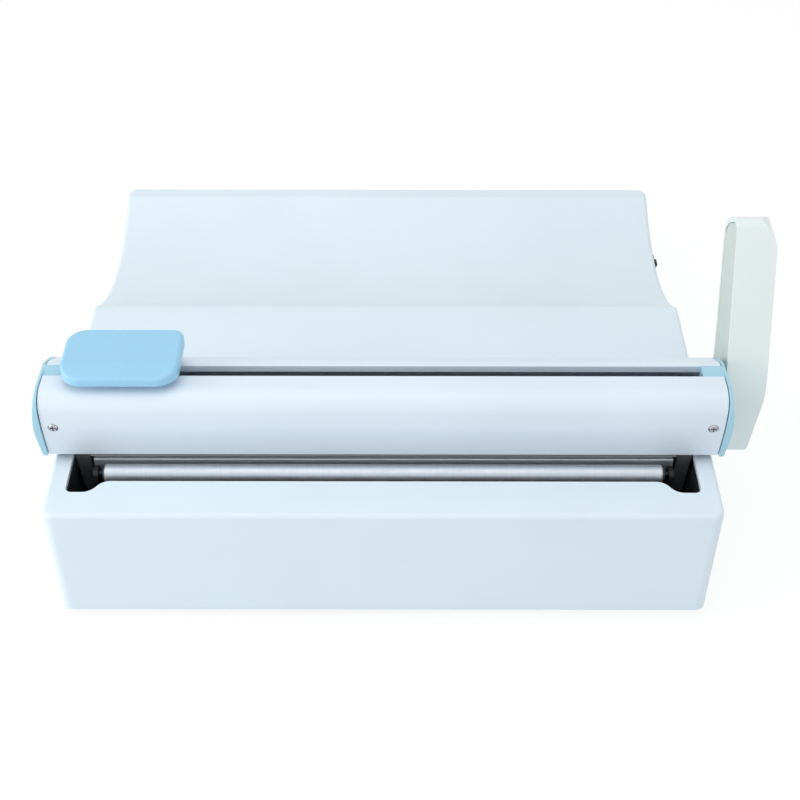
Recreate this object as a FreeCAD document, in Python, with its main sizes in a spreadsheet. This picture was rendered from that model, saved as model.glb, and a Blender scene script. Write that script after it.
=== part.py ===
import FreeCAD, Part
import math
import os
import Sketcher

# Driving sizes in millimetres and degrees. Depths count back from the front face of the
# housing, heights up from its lower edge, and widths out from the middle of the machine.
SIZES = {
    # housing
    "base_width": 420.0,
    "base_depth": 378.0,
    "deck_height": 88.6,
    "corner_radius": 7.0,
    "edge_radius": 3.0,
    "wall": 3.0,
    "lip_depth": 222.0,
    "lip_run": 16.0,
    "lip_drop": 10.6,
    "lip_radius": 12.0,
    "cradle_share": 0.522,
    "cradle_vertex_height": 43.0,
    "cradle_fullness": 0.95,
    "rim_width": 12.3,
    "rim_height": 75.0,
    "boss_radius": 5.0,
    "boss_height": 30.0,
    "boss_merge": 0.8,
    "boss_floor": 6.0,
    # well in the deck
    "well_front": 30.0,
    "well_end_front": 20.4,
    "well_rear": 98.0,
    "well_end_width": 15.5,
    "well_slope_width": 7.0,
    "well_corner_radius": 4.0,
    "well_slope_radius": 10.0,
    "tray_thickness": 2.0,
    "tray_overlap": 2.0,
    "tray_gap": 0.3,
    "tray_sill": 0.5,
    "tray_depth": 50.6,
    # bottom plate, feet and screws
    "plate_thickness": 2.5,
    "plate_clearance": 0.3,
    "foot_height": 6.0,
    "foot_radius": 10.0,
    "foot_inset": 30.0,
    "foot_bevel": 1.5,
    "foot_stem_radius": 3.0,
    "foot_stem_reach": 2.0,
    "screw_radius": 1.5,
    "screw_head_radius": 3.0,
    "screw_head_height": 1.9,
    "screw_clearance": 0.15,
    "vent_length": 40.0,
    "vent_width": 4.0,
    "vent_spacing": 10.0,
    "vent_margin": 22.0,
    "vent_inset": 15.0,
    # side frames
    "frame_gap": 5.0,
    "frame_thickness": 3.0,
    "frame_front": 20.0,
    "frame_rear": 215.0,
    "frame_top_gap": 1.0,
    "frame_shoulder": 22.0,
    "frame_tail_rise": 16.0,
    "frame_corner_radius": 4.0,
    "frame_bend_radius": 8.0,
    "frame_screw_inset": 12.0,
    "frame_screw_offset": 8.0,
    "window_low": 16.0,
    "window_margin": 20.0,
    "window_top_gap": 8.0,
    "flange_width": 16.0,
    # guide roller
    "roller_depth": 42.5,
    "roller_drop": 5.6,
    "roller_radius": 6.0,
    "roller_gap": 4.0,
    "roller_wall": 1.0,
    "roller_bevel": 0.6,
    "plug_length": 12.0,
    "plug_overhang": 1.2,
    "axle_radius": 2.0,
    "axle_overhang": 0.5,
    "bracket_gap": 4.8,
    "bracket_thickness": 3.0,
    "bracket_width": 13.0,
    "bracket_cover": 2.5,
    "bracket_shoulder": 8.0,
    "bracket_corner_radius": 4.0,
    "bracket_foot": 10.0,
    "running_clearance": 0.05,
    "press_clearance": 0.02,
    # lower jaw with heater and cutting groove
    "jaw_front": 50.0,
    "jaw_rear": 91.0,
    "jaw_gap": 3.8,
    "jaw_wall": 3.0,
    "jaw_drop": 0.3,
    "jaw_edge_radius": 1.0,
    "jaw_inner_radius": 3.0,
    "heater_front": 55.0,
    "heater_width": 10.0,
    "heater_channel_depth": 6.3,
    "insulator_thickness": 1.5,
    "slip_fit": 0.2,
    "cover_sheet_thickness": 0.3,
    "cover_sheet_lap": 2.5,
    "groove_front": 71.5,
    "groove_width": 8.5,
    "groove_depth": 8.3,
    "groove_wall": 1.2,
    "groove_floor_thickness": 2.0,
    "groove_fit": 0.1,
    # press bar
    "bar_front": 45.0,
    "bar_lower_front": 48.5,
    "bar_lift": 5.5,
    "bar_height": 49.7,
    "bar_rear": 106.0,
    "bar_rear_shoulder": 108.0,
    "bar_rear_drop": 18.6,
    "cover_wall": 2.5,
    "cover_overhang": 1.5,
    "nose_radius": 12.0,
    "nose_lean": 0.6,
    "bar_bulge_radius": 60.0,
    "bar_rear_radius": 10.0,
    "bar_crest": 4.7,
    "bar_crest_drop": 0.8,
    "bar_crest_radius": 15.0,
    "slot_front": 68.9,
    "slot_width": 10.9,
    "slot_lip_depth": 6.4,
    "slot_lip_wall": 2.0,
    "slot_edge_radius": 0.8,
    "slot_front_drop": 1.2,
    "slot_rear_drop": 2.4,
    "cap_gap": 0.7,
    "cap_thickness": 4.8,
    "cap_proud": 1.0,
    "cap_edge_radius": 1.0,
    "cap_low_thickness": 3.4,
    "cap_top_thickness": 1.8,
    "cap_belly": 17.0,
    "cap_shoulder": 22.0,
    "cap_shoulder_radius": 90.0,
    "tab_length": 13.2,
    "tab_drop": 2.2,
    "tab_depth": 4.0,
    "lug_length": 12.0,
    "lug_depth": 13.0,
    "lug_height": 12.0,
    "stay_width": 12.0,
    "stay_height": 20.0,
    "stay_lift": 2.0,
    "block_radius": 1.0,
    "cover_screw_height": 25.9,
    "cover_screw_inset": 7.0,
    "cover_screw_length": 12.0,
    "cover_screw_sink": 1.5,
    "cover_screw_rise": 0.6,
    "cover_screw_bevel": 0.8,
    "cross_reach": 1.9,
    "cross_half": 0.5,
    "cross_depth": 1.6,
    "beam_front": 52.0,
    "beam_split_front": 71.0,
    "beam_split_rear": 78.0,
    "beam_rear": 93.0,
    "beam_lift": 9.4,
    "beam_height": 28.0,
    "beam_wall": 3.0,
    "beam_edge_radius": 1.0,
    "strip_front": 57.0,
    "strip_width": 9.0,
    "strip_gap": 5.1,
    "strip_end_gap": 9.0,
    # press arms and their pivots
    "arm_gap": 1.7,
    "arm_width": 9.0,
    "arm_depth": 13.1,
    "arm_foot_front": 64.0,
    "arm_waist": 72.0,
    "arm_neck": 10.5,
    "arm_head_height": 26.0,
    "arm_foot_radius": 5.0,
    "arm_head_radius": 3.0,
    "arm_waist_radius": 4.0,
    "arm_bend_radius": 20.0,
    "arm_saddle": 18.0,
    "arm_tail": 26.0,
    "pivot_depth": 190.0,
    "pivot_drop": 38.6,
    "pivot_radius": 4.0,
    "pivot_head_rise": 2.0,
    "pivot_head_thickness": 2.0,
    "pivot_head_gap": 0.5,
    "pivot_reach": 1.5,
    "eye_radius": 11.0,
    "eye_blend": 0.5,
    "arm_screw_radius": 2.0,
    "arm_screw_head_radius": 3.6,
    "arm_screw_head_height": 2.5,
    "arm_screw_length": 14.0,
    # lever and cross shaft
    "shaft_setback": 12.0,
    "shaft_drop": 22.6,
    "shaft_radius": 6.0,
    "shaft_overhang": 4.0,
    "collar_width": 2.5,
    "collar_rise": 3.0,
    "bush_wall": 2.0,
    "bush_flange": 1.2,
    "bush_flange_rise": 2.0,
    "eccentric_radius": 10.0,
    "eccentric_throw": 2.0,
    "eccentric_angle": 135.0,
    "cam_gap": 0.3,
    "lever_gap": 9.0,
    "lever_thickness": 26.0,
    "lever_foot_thickness": 24.0,
    "lever_foot_radius": 17.5,
    "lever_foot_edge": 5.0,
    "lever_bend_height": 49.0,
    "lever_reach": 152.0,
    "lever_front": 27.5,
    "lever_lean_angle": 25.3,
    "lever_breadth": 41.3,
    "lever_rear_angle": 22.9,
    "lever_end_drop": 18.0,
    "lever_end_radius": 20.0,
    "lever_tip_radius": 6.0,
    "lever_bend_radius": 40.0,
    "lever_bulge": 0.5,
    "lever_rear_bend": 1.0,
    "lever_rear_bend_drop": 4.0,
    "lever_taper_radius": 60.0,
    "lever_taper_drop": 6.0,
    "lever_hollow_radius": 4.0,
    "lever_rebate": 3.2,
    "lever_cover_sink": 0.5,
    "lever_boss_radius": 8.5,
    "lever_boss_bore": 2.7,
    "lever_corner_radius": 20.0,
    "lever_shell": 2.0,
    "lever_ledge": 1.2,
    "hub_radius": 13.0,
    "hub_gap": 3.5,
    "hub_length": 16.0,
    "hub_bevel": 1.0,
    "hub_clearance": 0.3,
    "lever_screw_sink": 3.5,
    "lever_screw_radius": 2.5,
    "lever_screw_head_radius": 5.0,
    "lever_screw_head_height": 3.0,
    "lever_screw_bevel": 0.8,
    "lever_cross_half": 0.6,
    "lever_cross_reach": 2.8,
    "lever_cross_depth": 1.6,
    # cutter
    "cutter_width": 73.0,
    "cutter_depth": 46.5,
    "cutter_front": 50.5,
    "cutter_height": 7.8,
    "cutter_lift": 5.6,
    "cutter_front_radius": 14.0,
    "cutter_rear_radius": 7.0,
    "cutter_far_radius": 13.0,
    "cutter_edge_radius": 2.5,
    "cutter_slope_length": 14.0,
    "cutter_slope_drop": 2.6,
    "cutter_shell": 2.2,
    "cutter_start": 161.5,
    "carriage_length": 59.0,
    "carriage_front": 65.0,
    "carriage_rear": 84.0,
    "carriage_height": 5.2,
    "carriage_gap": 0.3,
    "carriage_corner_radius": 2.0,
    "neck_gap": 1.7,
    "neck_length": 31.0,
    "neck_radius": 1.5,
    "keel_length": 24.0,
    "keel_thickness": 2.8,
    "keel_front": 72.6,
    "keel_depth": 24.0,
    "blade_thickness": 0.6,
    "blade_length": 16.0,
    "blade_height": 21.5,
    "blade_tip_lift": 1.9,
    "blade_screw_drop": 4.0,
    "blade_screw_offset": 4.0,
    "blade_screw_radius": 1.0,
    "blade_screw_head_radius": 1.9,
    "blade_screw_head_height": 0.8,
    # return springs
    "spring_depth": 150.0,
    "spring_radius": 3.8,
    "spring_wire_width": 1.8,
    "spring_wire_height": 1.4,
    "spring_pitch": 8.0,
    "spring_gap": 0.3,
    # electrics
    "switch_depth": 310.0,
    "switch_height": 47.5,
    "switch_width": 10.5,
    "switch_length": 15.0,
    "switch_bezel": 1.0,
    "switch_rim": 1.6,
    "switch_body_depth": 16.0,
    "switch_body_inset": 1.0,
    "switch_cavity": 12.0,
    "rocker_width": 6.4,
    "rocker_length": 10.4,
    "rocker_crown": 4.2,
    "rocker_root": 6.0,
    "rocker_root_share": 0.6,
    "rocker_valley": 0.8,
    "rocker_valley_radius": 10.0,
    "rocker_edge_radius": 0.8,
    "rocker_pivot_depth": 1.0,
    "rocker_tilt": 9.0,
    "inlet_offset": 120.0,
    "inlet_height": 38.0,
    "inlet_width": 27.0,
    "inlet_tall": 19.5,
    "inlet_flange_width": 50.0,
    "inlet_flange_tall": 23.0,
    "inlet_flange": 2.5,
    "inlet_body_depth": 22.0,
    "socket_width": 24.0,
    "socket_tall": 16.5,
    "socket_depth": 16.0,
    "contact_width": 2.0,
    "contact_height": 4.0,
    "contact_sink": 5.5,
    "contact_spread": 7.0,
    "contact_stagger": 2.0,
    "inlet_fit": 0.3,
    "inlet_screw_shift": 1.0,
    "board_width": 130.0,
    "board_length": 84.0,
    "board_left": 20.0,
    "board_front": 240.0,
    "board_thickness": 1.6,
    "board_corner_radius": 2.0,
    "board_hole_inset": 6.0,
    "board_margin": 12.0,
    "transformer_width": 30.0,
    "transformer_length": 26.0,
    "transformer_height": 22.0,
    "relay_width": 19.0,
    "relay_length": 16.0,
    "relay_height": 15.0,
    "component_gap": 10.0,
    "capacitor_radius": 5.0,
    "capacitor_height": 16.0,
    "terminal_width": 34.0,
    "terminal_length": 10.0,
    "terminal_height": 12.0,
    "cooler_width": 6.0,
    "cooler_length": 32.0,
    "cooler_height": 20.0,
    "standoff_height": 7.5,
    "standoff_radius": 3.0,
    "thermostat_radius": 6.0,
    "thermostat_height": 7.0,
    "thermostat_flange": 2.0,
    "thermostat_ear": 11.0,
    "thermostat_ear_half": 3.5,
    "through": 1.0,
}

# How many vent slots the bottom plate has.
VENTS = 5

document = FreeCAD.newDocument("bag_sealer")
sheet = document.addObject("Spreadsheet::Sheet", "sizes")


class Size:
    """A size with its value and the sheet expression that gives it."""

    def __init__(self, value, text):
        self.value = value
        self.text = text

    def __add__(self, other):
        return join(self, "+", other, number(self) + number(other))

    def __radd__(self, other):
        return join(other, "+", self, number(self) + number(other))

    def __sub__(self, other):
        return join(self, "-", other, number(self) - number(other))

    def __rsub__(self, other):
        return join(other, "-", self, number(other) - number(self))

    def __mul__(self, other):
        return join(self, "*", other, number(self) * number(other))

    def __rmul__(self, other):
        return join(other, "*", self, number(self) * number(other))

    def __truediv__(self, other):
        return join(self, "/", other, number(self) / number(other))

    def __rtruediv__(self, other):
        return join(other, "/", self, number(other) / number(self))

    def __neg__(self):
        return Size(-self.value, "(-1 * " + self.text + ")")


def number(size):
    """The plain value of a size or a number."""
    return size.value if isinstance(size, Size) else float(size)


def wording(size):
    """The expression of a size or a number."""
    return size.text if isinstance(size, Size) else repr(float(size))


def join(first, sign, second, value):
    """Two sizes joined by an arithmetic sign."""
    return Size(value, "(" + wording(first) + " " + sign + " " + wording(second) + ")")


def sine(angle):
    return Size(math.sin(math.radians(number(angle))), "sin(" + wording(angle) + ")")


def cosine(angle):
    return Size(math.cos(math.radians(number(angle))), "cos(" + wording(angle) + ")")


def tangent(angle):
    return Size(math.tan(math.radians(number(angle))), "tan(" + wording(angle) + ")")


def root(size):
    return Size(math.sqrt(number(size)), "sqrt(" + wording(size) + ")")


def fill_sheet():
    """Write every driving size into the sheet and give back the named sizes."""
    named = {}
    for row, (alias, value) in enumerate(SIZES.items(), start=1):
        sheet.set("A" + str(row), alias)
        sheet.set("B" + str(row), str(value))
        sheet.setAlias("B" + str(row), alias)
        named[alias] = Size(value, "sizes." + alias)
    document.recompute()
    return named


S = fill_sheet()
THROUGH = S["through"]


DERIVED = []


def derived(alias, size):
    """Write a size that follows from others into the sheet under its own name."""
    row = str(len(SIZES) + len(DERIVED) + 1)
    DERIVED.append(alias)
    sheet.set("A" + row, alias)
    sheet.set("B" + row, "=" + size.text.replace("sizes.", ""))
    sheet.setAlias("B" + row, alias)
    return Size(size.value, "sizes." + alias)




def bind(thing, path, size):
    """Set a property of a feature from a size, by an expression where it comes from the sheet."""
    if isinstance(size, Size):
        thing.setExpression(path, size.text)


class Round:
    """A circle in a sketch."""

    def __init__(self, across, up, radius):
        self.across = across
        self.up = up
        self.radius = radius

    def draw(self, sketch):
        middle = FreeCAD.Vector(number(self.across), number(self.up), 0)
        circle = Part.Circle(middle, FreeCAD.Vector(0, 0, 1), number(self.radius))
        index = sketch.addGeometry(circle, False)
        pin_point(sketch, index, 3, self.across, self.up)
        pin_radius(sketch, index, self.radius)


class Outline:
    """A closed outline through corners (across, up) or (across, up, radius)."""

    def __init__(self, *corners):
        self.corners = [tuple(corner) + (None,) * (3 - len(corner)) for corner in corners]

    def bends(self):
        """For each corner: where its arc starts and ends, the arc, and whether it turns left."""
        points = [FreeCAD.Vector(number(c[0]), number(c[1]), 0) for c in self.corners]
        bends = []
        for index, (point, corner) in enumerate(zip(points, self.corners)):
            before = (points[index - 1] - point).normalize()
            after = (points[(index + 1) % len(points)] - point).normalize()
            if corner[2] is None:
                bends.append((point, point, None, True))
                continue
            radius = number(corner[2])
            half = before.getAngle(after) / 2
            enter = point + before * (radius / math.tan(half))
            leave = point + after * (radius / math.tan(half))
            middle = point + (before + after).normalize() * (radius / math.sin(half))
            left = (point - points[index - 1]).cross(after).z > 0
            ends = (enter, leave) if left else (leave, enter)
            angles = [math.atan2(end.y - middle.y, end.x - middle.x) for end in ends]
            circle = Part.Circle(middle, FreeCAD.Vector(0, 0, 1), radius)
            bends.append((enter, leave, Part.ArcOfCircle(circle, angles[0], angles[1]), left))
        return bends

    def draw(self, sketch):
        bends = self.bends()
        total = len(bends)
        lines = []
        for index, bend in enumerate(bends):
            target = bends[(index + 1) % total][0]
            lines.append(sketch.addGeometry(Part.LineSegment(bend[1], target), False))
        for index, (corner, bend) in enumerate(zip(self.corners, bends)):
            incoming = lines[index - 1]
            outgoing = lines[index]
            if bend[2] is None:
                sketch.addConstraint(Sketcher.Constraint("Coincident", incoming, 2, outgoing, 1))
                pin_point(sketch, outgoing, 1, corner[0], corner[1])
                continue
            arc = sketch.addGeometry(bend[2], False)
            spot = Part.Point(FreeCAD.Vector(number(corner[0]), number(corner[1]), 0))
            point = sketch.addGeometry(spot, True)
            first, last = (1, 2) if bend[3] else (2, 1)
            sketch.addConstraint([
                Sketcher.Constraint("Tangent", incoming, 2, arc, first),
                Sketcher.Constraint("Tangent", outgoing, 1, arc, last),
                Sketcher.Constraint("PointOnObject", point, 1, incoming),
                Sketcher.Constraint("PointOnObject", point, 1, outgoing),
            ])
            pin_radius(sketch, arc, corner[2])
            pin_point(sketch, point, 1, corner[0], corner[1])


def named_constraint(sketch, constraint, size):
    """Add a dimension to a sketch and bind it to its size."""
    index = sketch.addConstraint(constraint)
    name = "size_" + str(index)
    sketch.renameConstraint(index, name)
    bind(sketch, "Constraints." + name, size)


def pin_point(sketch, index, end, across, up):
    """Dimension a point of a sketch from the sketch's origin."""
    for kind, size in (("DistanceX", across), ("DistanceY", up)):
        named_constraint(sketch, Sketcher.Constraint(kind, -1, 1, index, end, number(size)), size)


def pin_radius(sketch, index, radius):
    """Dimension the radius of a circle or an arc."""
    named_constraint(sketch, Sketcher.Constraint("Radius", index, number(radius)), radius)


def box_outline(left, right, low, high, radius=None):
    """A rectangle, its corners rounded where a radius is given."""
    return Outline((left, low, radius), (right, low, radius), (right, high, radius), (left, high, radius))


class Piece:
    """One sub-part: a body with its own label, placed in the frame of the whole machine."""

    # Each plane with the side its normal points to along its axis.
    PLANES = {"x": ("YZ_Plane", 1), "y": ("XZ_Plane", -1), "z": ("XY_Plane", 1)}

    def __init__(self, label):
        self.body = document.addObject("PartDesign::Body", label)
        self.body.Label = label
        self.body.AllowCompound = True
        bind(self.body, "Placement.Base.y", -S["base_depth"] / 2)
        bind(self.body, "Placement.Base.z", S["foot_height"])

    def origin(self, role):
        """The body's own origin plane or axis with this role."""
        return [item for item in self.body.Origin.OriginFeatures if item.Role == role][0]

    def sketch(self, axis, position, shapes):
        """A sketch across an axis at a position."""
        role, side = self.PLANES[axis]
        sketch = self.body.newObject("Sketcher::SketchObject", "sketch")
        sketch.AttachmentSupport = [(self.origin(role), "")]
        sketch.MapMode = "FlatFace"
        sketch.AttachmentOffset = FreeCAD.Placement(
            FreeCAD.Vector(0, 0, side * number(position)), FreeCAD.Rotation()
        )
        bind(sketch, "AttachmentOffset.Base.z", side * position)
        for shape in shapes:
            shape.draw(sketch)
        return sketch

    def pad(self, axis, low, high, *shapes):
        """Material between two positions along an axis."""
        start = low if self.PLANES[axis][1] > 0 else high
        feature = self.body.newObject("PartDesign::Pad", "pad")
        feature.Profile = self.sketch(axis, start, shapes)
        feature.Length = number(high) - number(low)
        bind(feature, "Length", high - low)
        return feature

    def pocket(self, axis, low, high, *shapes):
        """A cut between two positions along an axis."""
        start = high if self.PLANES[axis][1] > 0 else low
        feature = self.body.newObject("PartDesign::Pocket", "pocket")
        feature.Profile = self.sketch(axis, start, shapes)
        feature.Length = number(high) - number(low)
        bind(feature, "Length", high - low)
        return feature

    def repeat(self, feature, axis, reach, count):
        """Copies of a feature in a row along an axis."""
        pattern = self.body.newObject("PartDesign::LinearPattern", "pattern")
        pattern.Originals = [feature]
        pattern.Direction = (self.origin(axis), [""])
        bind(pattern, "Length", reach)
        pattern.Occurrences = count
        self.body.Tip = pattern
        return pattern

    def edges(self, wanted):
        """Names of the edges of the solid so far whose bounding box passes a test."""
        document.recompute()
        shape = self.body.Tip.Shape
        return ["Edge" + str(i + 1) for i, edge in enumerate(shape.Edges) if wanted(edge.BoundBox)]

    def fillet(self, radius, wanted):
        """Round the wanted edges."""
        return self.dress("PartDesign::Fillet", "Radius", radius, wanted)

    def chamfer(self, size, wanted):
        """Bevel the wanted edges."""
        return self.dress("PartDesign::Chamfer", "Size", size, wanted)

    def dress(self, kind, path, size, wanted):
        """Round or bevel the wanted edges of the solid so far."""
        names = self.edges(wanted)
        base = self.body.Tip
        feature = self.body.newObject(kind, "edge_finish")
        feature.Base = (base, names)
        setattr(feature, path, number(size))
        bind(feature, path, size)
        self.body.Tip = feature
        return feature


def near(first, second):
    """Whether two lengths agree to a hundredth."""
    return abs(number(first) - number(second)) < 0.01


def upright_at(box, across, depth):
    """Whether a box is that of a vertical edge at this width and depth."""
    upright = near(box.XMin, box.XMax) and near(box.YMin, box.YMax)
    return upright and near(abs(box.XMin), across) and near(box.YMin, depth)


# Widths, outwards from the middle of the machine.
half_width = derived("half_width", S["base_width"] / 2)
inner_half = derived("inner_half", half_width - S["wall"])
frame_outer = derived("frame_outer", inner_half - S["frame_gap"])
frame_inner = derived("frame_inner", frame_outer - S["frame_thickness"])
arm_outer = derived("arm_outer", frame_inner - S["arm_gap"])
arm_inner = derived("arm_inner", arm_outer - S["arm_width"])
jaw_half = derived("jaw_half", arm_inner - S["jaw_gap"])
bracket_outer = derived("bracket_outer", arm_inner - S["bracket_gap"])
bracket_inner = derived("bracket_inner", bracket_outer - S["bracket_thickness"])
roller_half = derived("roller_half", bracket_inner - S["roller_gap"])
well_half = derived("well_half", frame_inner - S["frame_top_gap"])
cover_half = derived("cover_half", half_width + S["cover_overhang"])
cap_inner = derived("cap_inner", cover_half + S["cap_gap"])
cap_outer = derived("cap_outer", cap_inner + S["cap_thickness"])
cover_screw_side = derived("cover_screw_side", cover_half - S["cover_screw_inset"])
lever_inner = derived("lever_inner", half_width + S["lever_gap"])
lever_outer = derived("lever_outer", lever_inner + S["lever_thickness"])
lever_foot_face = derived("lever_foot_face", lever_inner + S["lever_foot_thickness"])
lever_screw_seat = derived("lever_screw_seat", lever_foot_face - S["lever_screw_sink"])
hub_start = derived("hub_start", half_width + S["hub_gap"])
hub_end = derived("hub_end", hub_start + S["hub_length"])
shaft_end = derived("shaft_end", hub_end - S["axle_overhang"])
rocker_pivot = derived("rocker_pivot", half_width - S["rocker_pivot_depth"])

# Depths, back from the front face.
shaft_depth = derived("shaft_depth", S["well_rear"] + S["shaft_setback"])
slot_rear = derived("slot_rear", S["slot_front"] + S["slot_width"])
heater_rear = derived("heater_rear", S["heater_front"] + S["heater_width"])
groove_rear = derived("groove_rear", S["groove_front"] + S["groove_width"])
rim_depth = derived("rim_depth", S["base_depth"] - S["rim_width"])
cradle_middle = derived("cradle_middle", S["lip_depth"] + (rim_depth - S["lip_depth"]) * S["cradle_share"])
inner_rear = derived("inner_rear", S["base_depth"] - S["wall"])

# Heights, up from the housing's lower edge.
deck = S["deck_height"]
cradle_reach = derived("cradle_reach", rim_depth - cradle_middle)
cradle_rise = derived("cradle_rise", S["rim_height"] - S["cradle_vertex_height"])
cradle_slant = derived("cradle_slant", root(cradle_reach * cradle_reach + cradle_rise * cradle_rise))
cradle_radius = derived("cradle_radius", S["cradle_fullness"] * cradle_reach * cradle_slant / cradle_rise)
skin = derived("skin", S["wall"] * cradle_slant / cradle_reach)
deck_under = derived("deck_under", deck - skin)
tray_floor = derived("tray_floor", deck - S["tray_depth"])
jaw_top = derived("jaw_top", deck - S["jaw_drop"])
heater_floor = derived("heater_floor", jaw_top - S["heater_channel_depth"])
groove_floor = derived("groove_floor", jaw_top - S["groove_depth"])
roller_height = derived("roller_height", deck - S["roller_drop"])
shaft_height = derived("shaft_height", deck - S["shaft_drop"])
pivot_height = derived("pivot_height", deck - S["pivot_drop"])
bar_low = derived("bar_low", deck + S["bar_lift"])
bar_top = derived("bar_top", bar_low + S["bar_height"])
beam_low = derived("beam_low", deck + S["beam_lift"])
beam_top = derived("beam_top", beam_low + S["beam_height"])
slot_front_edge = derived("slot_front_edge", bar_top - S["slot_front_drop"])
slot_rear_edge = derived("slot_rear_edge", bar_top - S["slot_rear_drop"])
lip_low = derived("lip_low", slot_front_edge - S["slot_lip_depth"])
cover_screw_up = derived("cover_screw_up", bar_low + S["cover_screw_height"])
cam_depth = derived("cam_depth", shaft_depth + S["eccentric_throw"] * cosine(S["eccentric_angle"]))
cam_height = derived("cam_height", shaft_height + S["eccentric_throw"] * sine(S["eccentric_angle"]))
arm_top = derived("arm_top", cam_height - S["eccentric_radius"] - S["cam_gap"])
arm_low = derived("arm_low", arm_top - S["arm_depth"])
flange_top = derived("flange_top", S["plate_thickness"] + S["frame_thickness"])
carriage_low = derived("carriage_low", beam_top + S["carriage_gap"])
blade_tip = derived("blade_tip", deck + S["blade_tip_lift"])
blade_top = derived("blade_top", blade_tip + S["blade_height"])
blade_screw_height = derived("blade_screw_height", blade_top - S["blade_screw_drop"])
board_low = derived("board_low", S["plate_thickness"] + S["standoff_height"])
board_top = derived("board_top", board_low + S["board_thickness"])
inlet_mouth = derived("inlet_mouth", S["base_depth"] + S["inlet_flange"])
socket_floor = derived("socket_floor", inlet_mouth - S["socket_depth"])


def housing_profile(inset, drop, low):
    """Side profile of the housing: deck, drop to the roll cradle, cradle and rear rim."""
    return Outline(
        (inset, low),
        (inset, deck - drop),
        (S["lip_depth"] - S["lip_run"], deck - drop, S["lip_radius"]),
        (S["lip_depth"], deck - S["lip_drop"] - drop, S["lip_radius"]),
        (cradle_middle, S["cradle_vertex_height"] - drop, cradle_radius),
        (rim_depth, S["rim_height"] - drop, S["edge_radius"]),
        (S["base_depth"] - inset, S["rim_height"] - drop),
        (S["base_depth"] - inset, low),
    )


def well_outline():
    """The well in the deck: a straight front edge that steps forward at both ends."""
    step = well_half - S["well_end_width"]
    mid = step - S["well_slope_width"]
    radius = S["well_corner_radius"]
    corners = [(well_half, S["well_rear"]), (well_half, S["well_end_front"], radius)]
    bend = S["well_slope_radius"]
    corners += [(step, S["well_end_front"], bend), (mid, S["well_front"], bend)]
    mirrored = [(-corner[0],) + corner[1:] for corner in reversed(corners)]
    return Outline(*(corners + mirrored))


def boss_places():
    """Where the bottom screws go: the four corners, and the middle of the front and the rear."""
    side = inner_half - S["boss_radius"] + S["boss_merge"]
    front = S["wall"] + S["boss_radius"] - S["boss_merge"]
    rear = S["base_depth"] - front
    return [(x, y) for y in (front, rear) for x in (-side, 0, side)]


def foot_places():
    """Where the feet stand."""
    side = half_width - S["foot_inset"]
    rear = S["base_depth"] - S["foot_inset"]
    return [(-side, S["foot_inset"]), (side, S["foot_inset"]), (-side, rear), (side, rear)]


def frame_screw_places():
    """Where the side frames are screwed to the bottom plate."""
    side = frame_inner - S["flange_width"] / 2
    inset = S["frame_screw_inset"]
    depths = (S["frame_front"] + inset, shaft_depth + S["frame_screw_offset"], S["frame_rear"] - inset)
    return [(sign * side, depth) for sign in (-1, 1) for depth in depths]


def standoff_places():
    """Where the control board stands on the bottom plate."""
    inset = S["board_hole_inset"]
    left = S["board_left"] + inset
    right = S["board_left"] + S["board_width"] - inset
    front = S["board_front"] + inset
    rear = S["board_front"] + S["board_length"] - inset
    return [(left, front), (right, front), (left, rear), (right, rear)]


def make_base_housing():
    """The white moulded housing: a shell, open below, with the well, the cradle and its bosses."""
    piece = Piece("base_housing")
    depth = S["base_depth"]
    piece.pad("x", -half_width, half_width, housing_profile(0, 0, 0))
    piece.fillet(S["corner_radius"], lambda box: upright_at(box, half_width, 0)
                 or upright_at(box, half_width, depth))

    def on_top_rim(box):
        crosswise = box.XLength > number(half_width)
        inside = box.YMin > number(S["wall"]) and box.YMax < number(inner_rear)
        return box.ZMin > number(S["wall"]) and not (crosswise and inside)

    piece.fillet(S["edge_radius"], on_top_rim)
    piece.pocket("x", -inner_half, inner_half, housing_profile(S["wall"], skin, -THROUGH))
    piece.fillet(S["corner_radius"] - S["wall"], lambda box: upright_at(box, inner_half, S["wall"])
                 or upright_at(box, inner_half, inner_rear))
    piece.pocket("z", deck_under - THROUGH, deck + THROUGH, well_outline())
    bosses = [Round(x, y, S["boss_radius"]) for x, y in boss_places()]
    for boss in bosses:
        piece.pad("z", S["plate_thickness"], S["boss_height"], boss)
    holes = [Round(x, y, S["screw_radius"] + S["screw_clearance"] / 2) for x, y in boss_places()]
    piece.pocket("z", S["plate_thickness"] - THROUGH, S["boss_height"] - S["boss_floor"], *holes)
    bush = S["shaft_radius"] + S["bush_wall"] + S["slip_fit"]
    piece.pocket("x", inner_half - THROUGH, half_width + THROUGH, Round(shaft_depth, shaft_height, bush))
    piece.pocket("x", inner_half - THROUGH, half_width + THROUGH,
                 switch_outline(S["slip_fit"] - S["switch_body_inset"]))
    piece.pocket("y", inner_rear - THROUGH, depth + THROUGH,
                 inlet_outline(S["inlet_width"], S["inlet_tall"], S["inlet_fit"]))
    return piece


def switch_outline(grow):
    """The rectangle of the power switch on the right wall, grown or shrunk all round."""
    across = S["switch_width"] / 2 + grow
    tall = S["switch_length"] / 2 + grow
    return box_outline(S["switch_depth"] - across, S["switch_depth"] + across,
                       S["switch_height"] - tall, S["switch_height"] + tall)


def inlet_outline(width, tall, grow):
    """A rectangle round the middle of the power inlet."""
    left = S["inlet_offset"] - width / 2 - grow
    right = S["inlet_offset"] + width / 2 + grow
    low = S["inlet_height"] - tall / 2 - grow
    high = S["inlet_height"] + tall / 2 + grow
    return box_outline(left, right, low, high)


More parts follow.
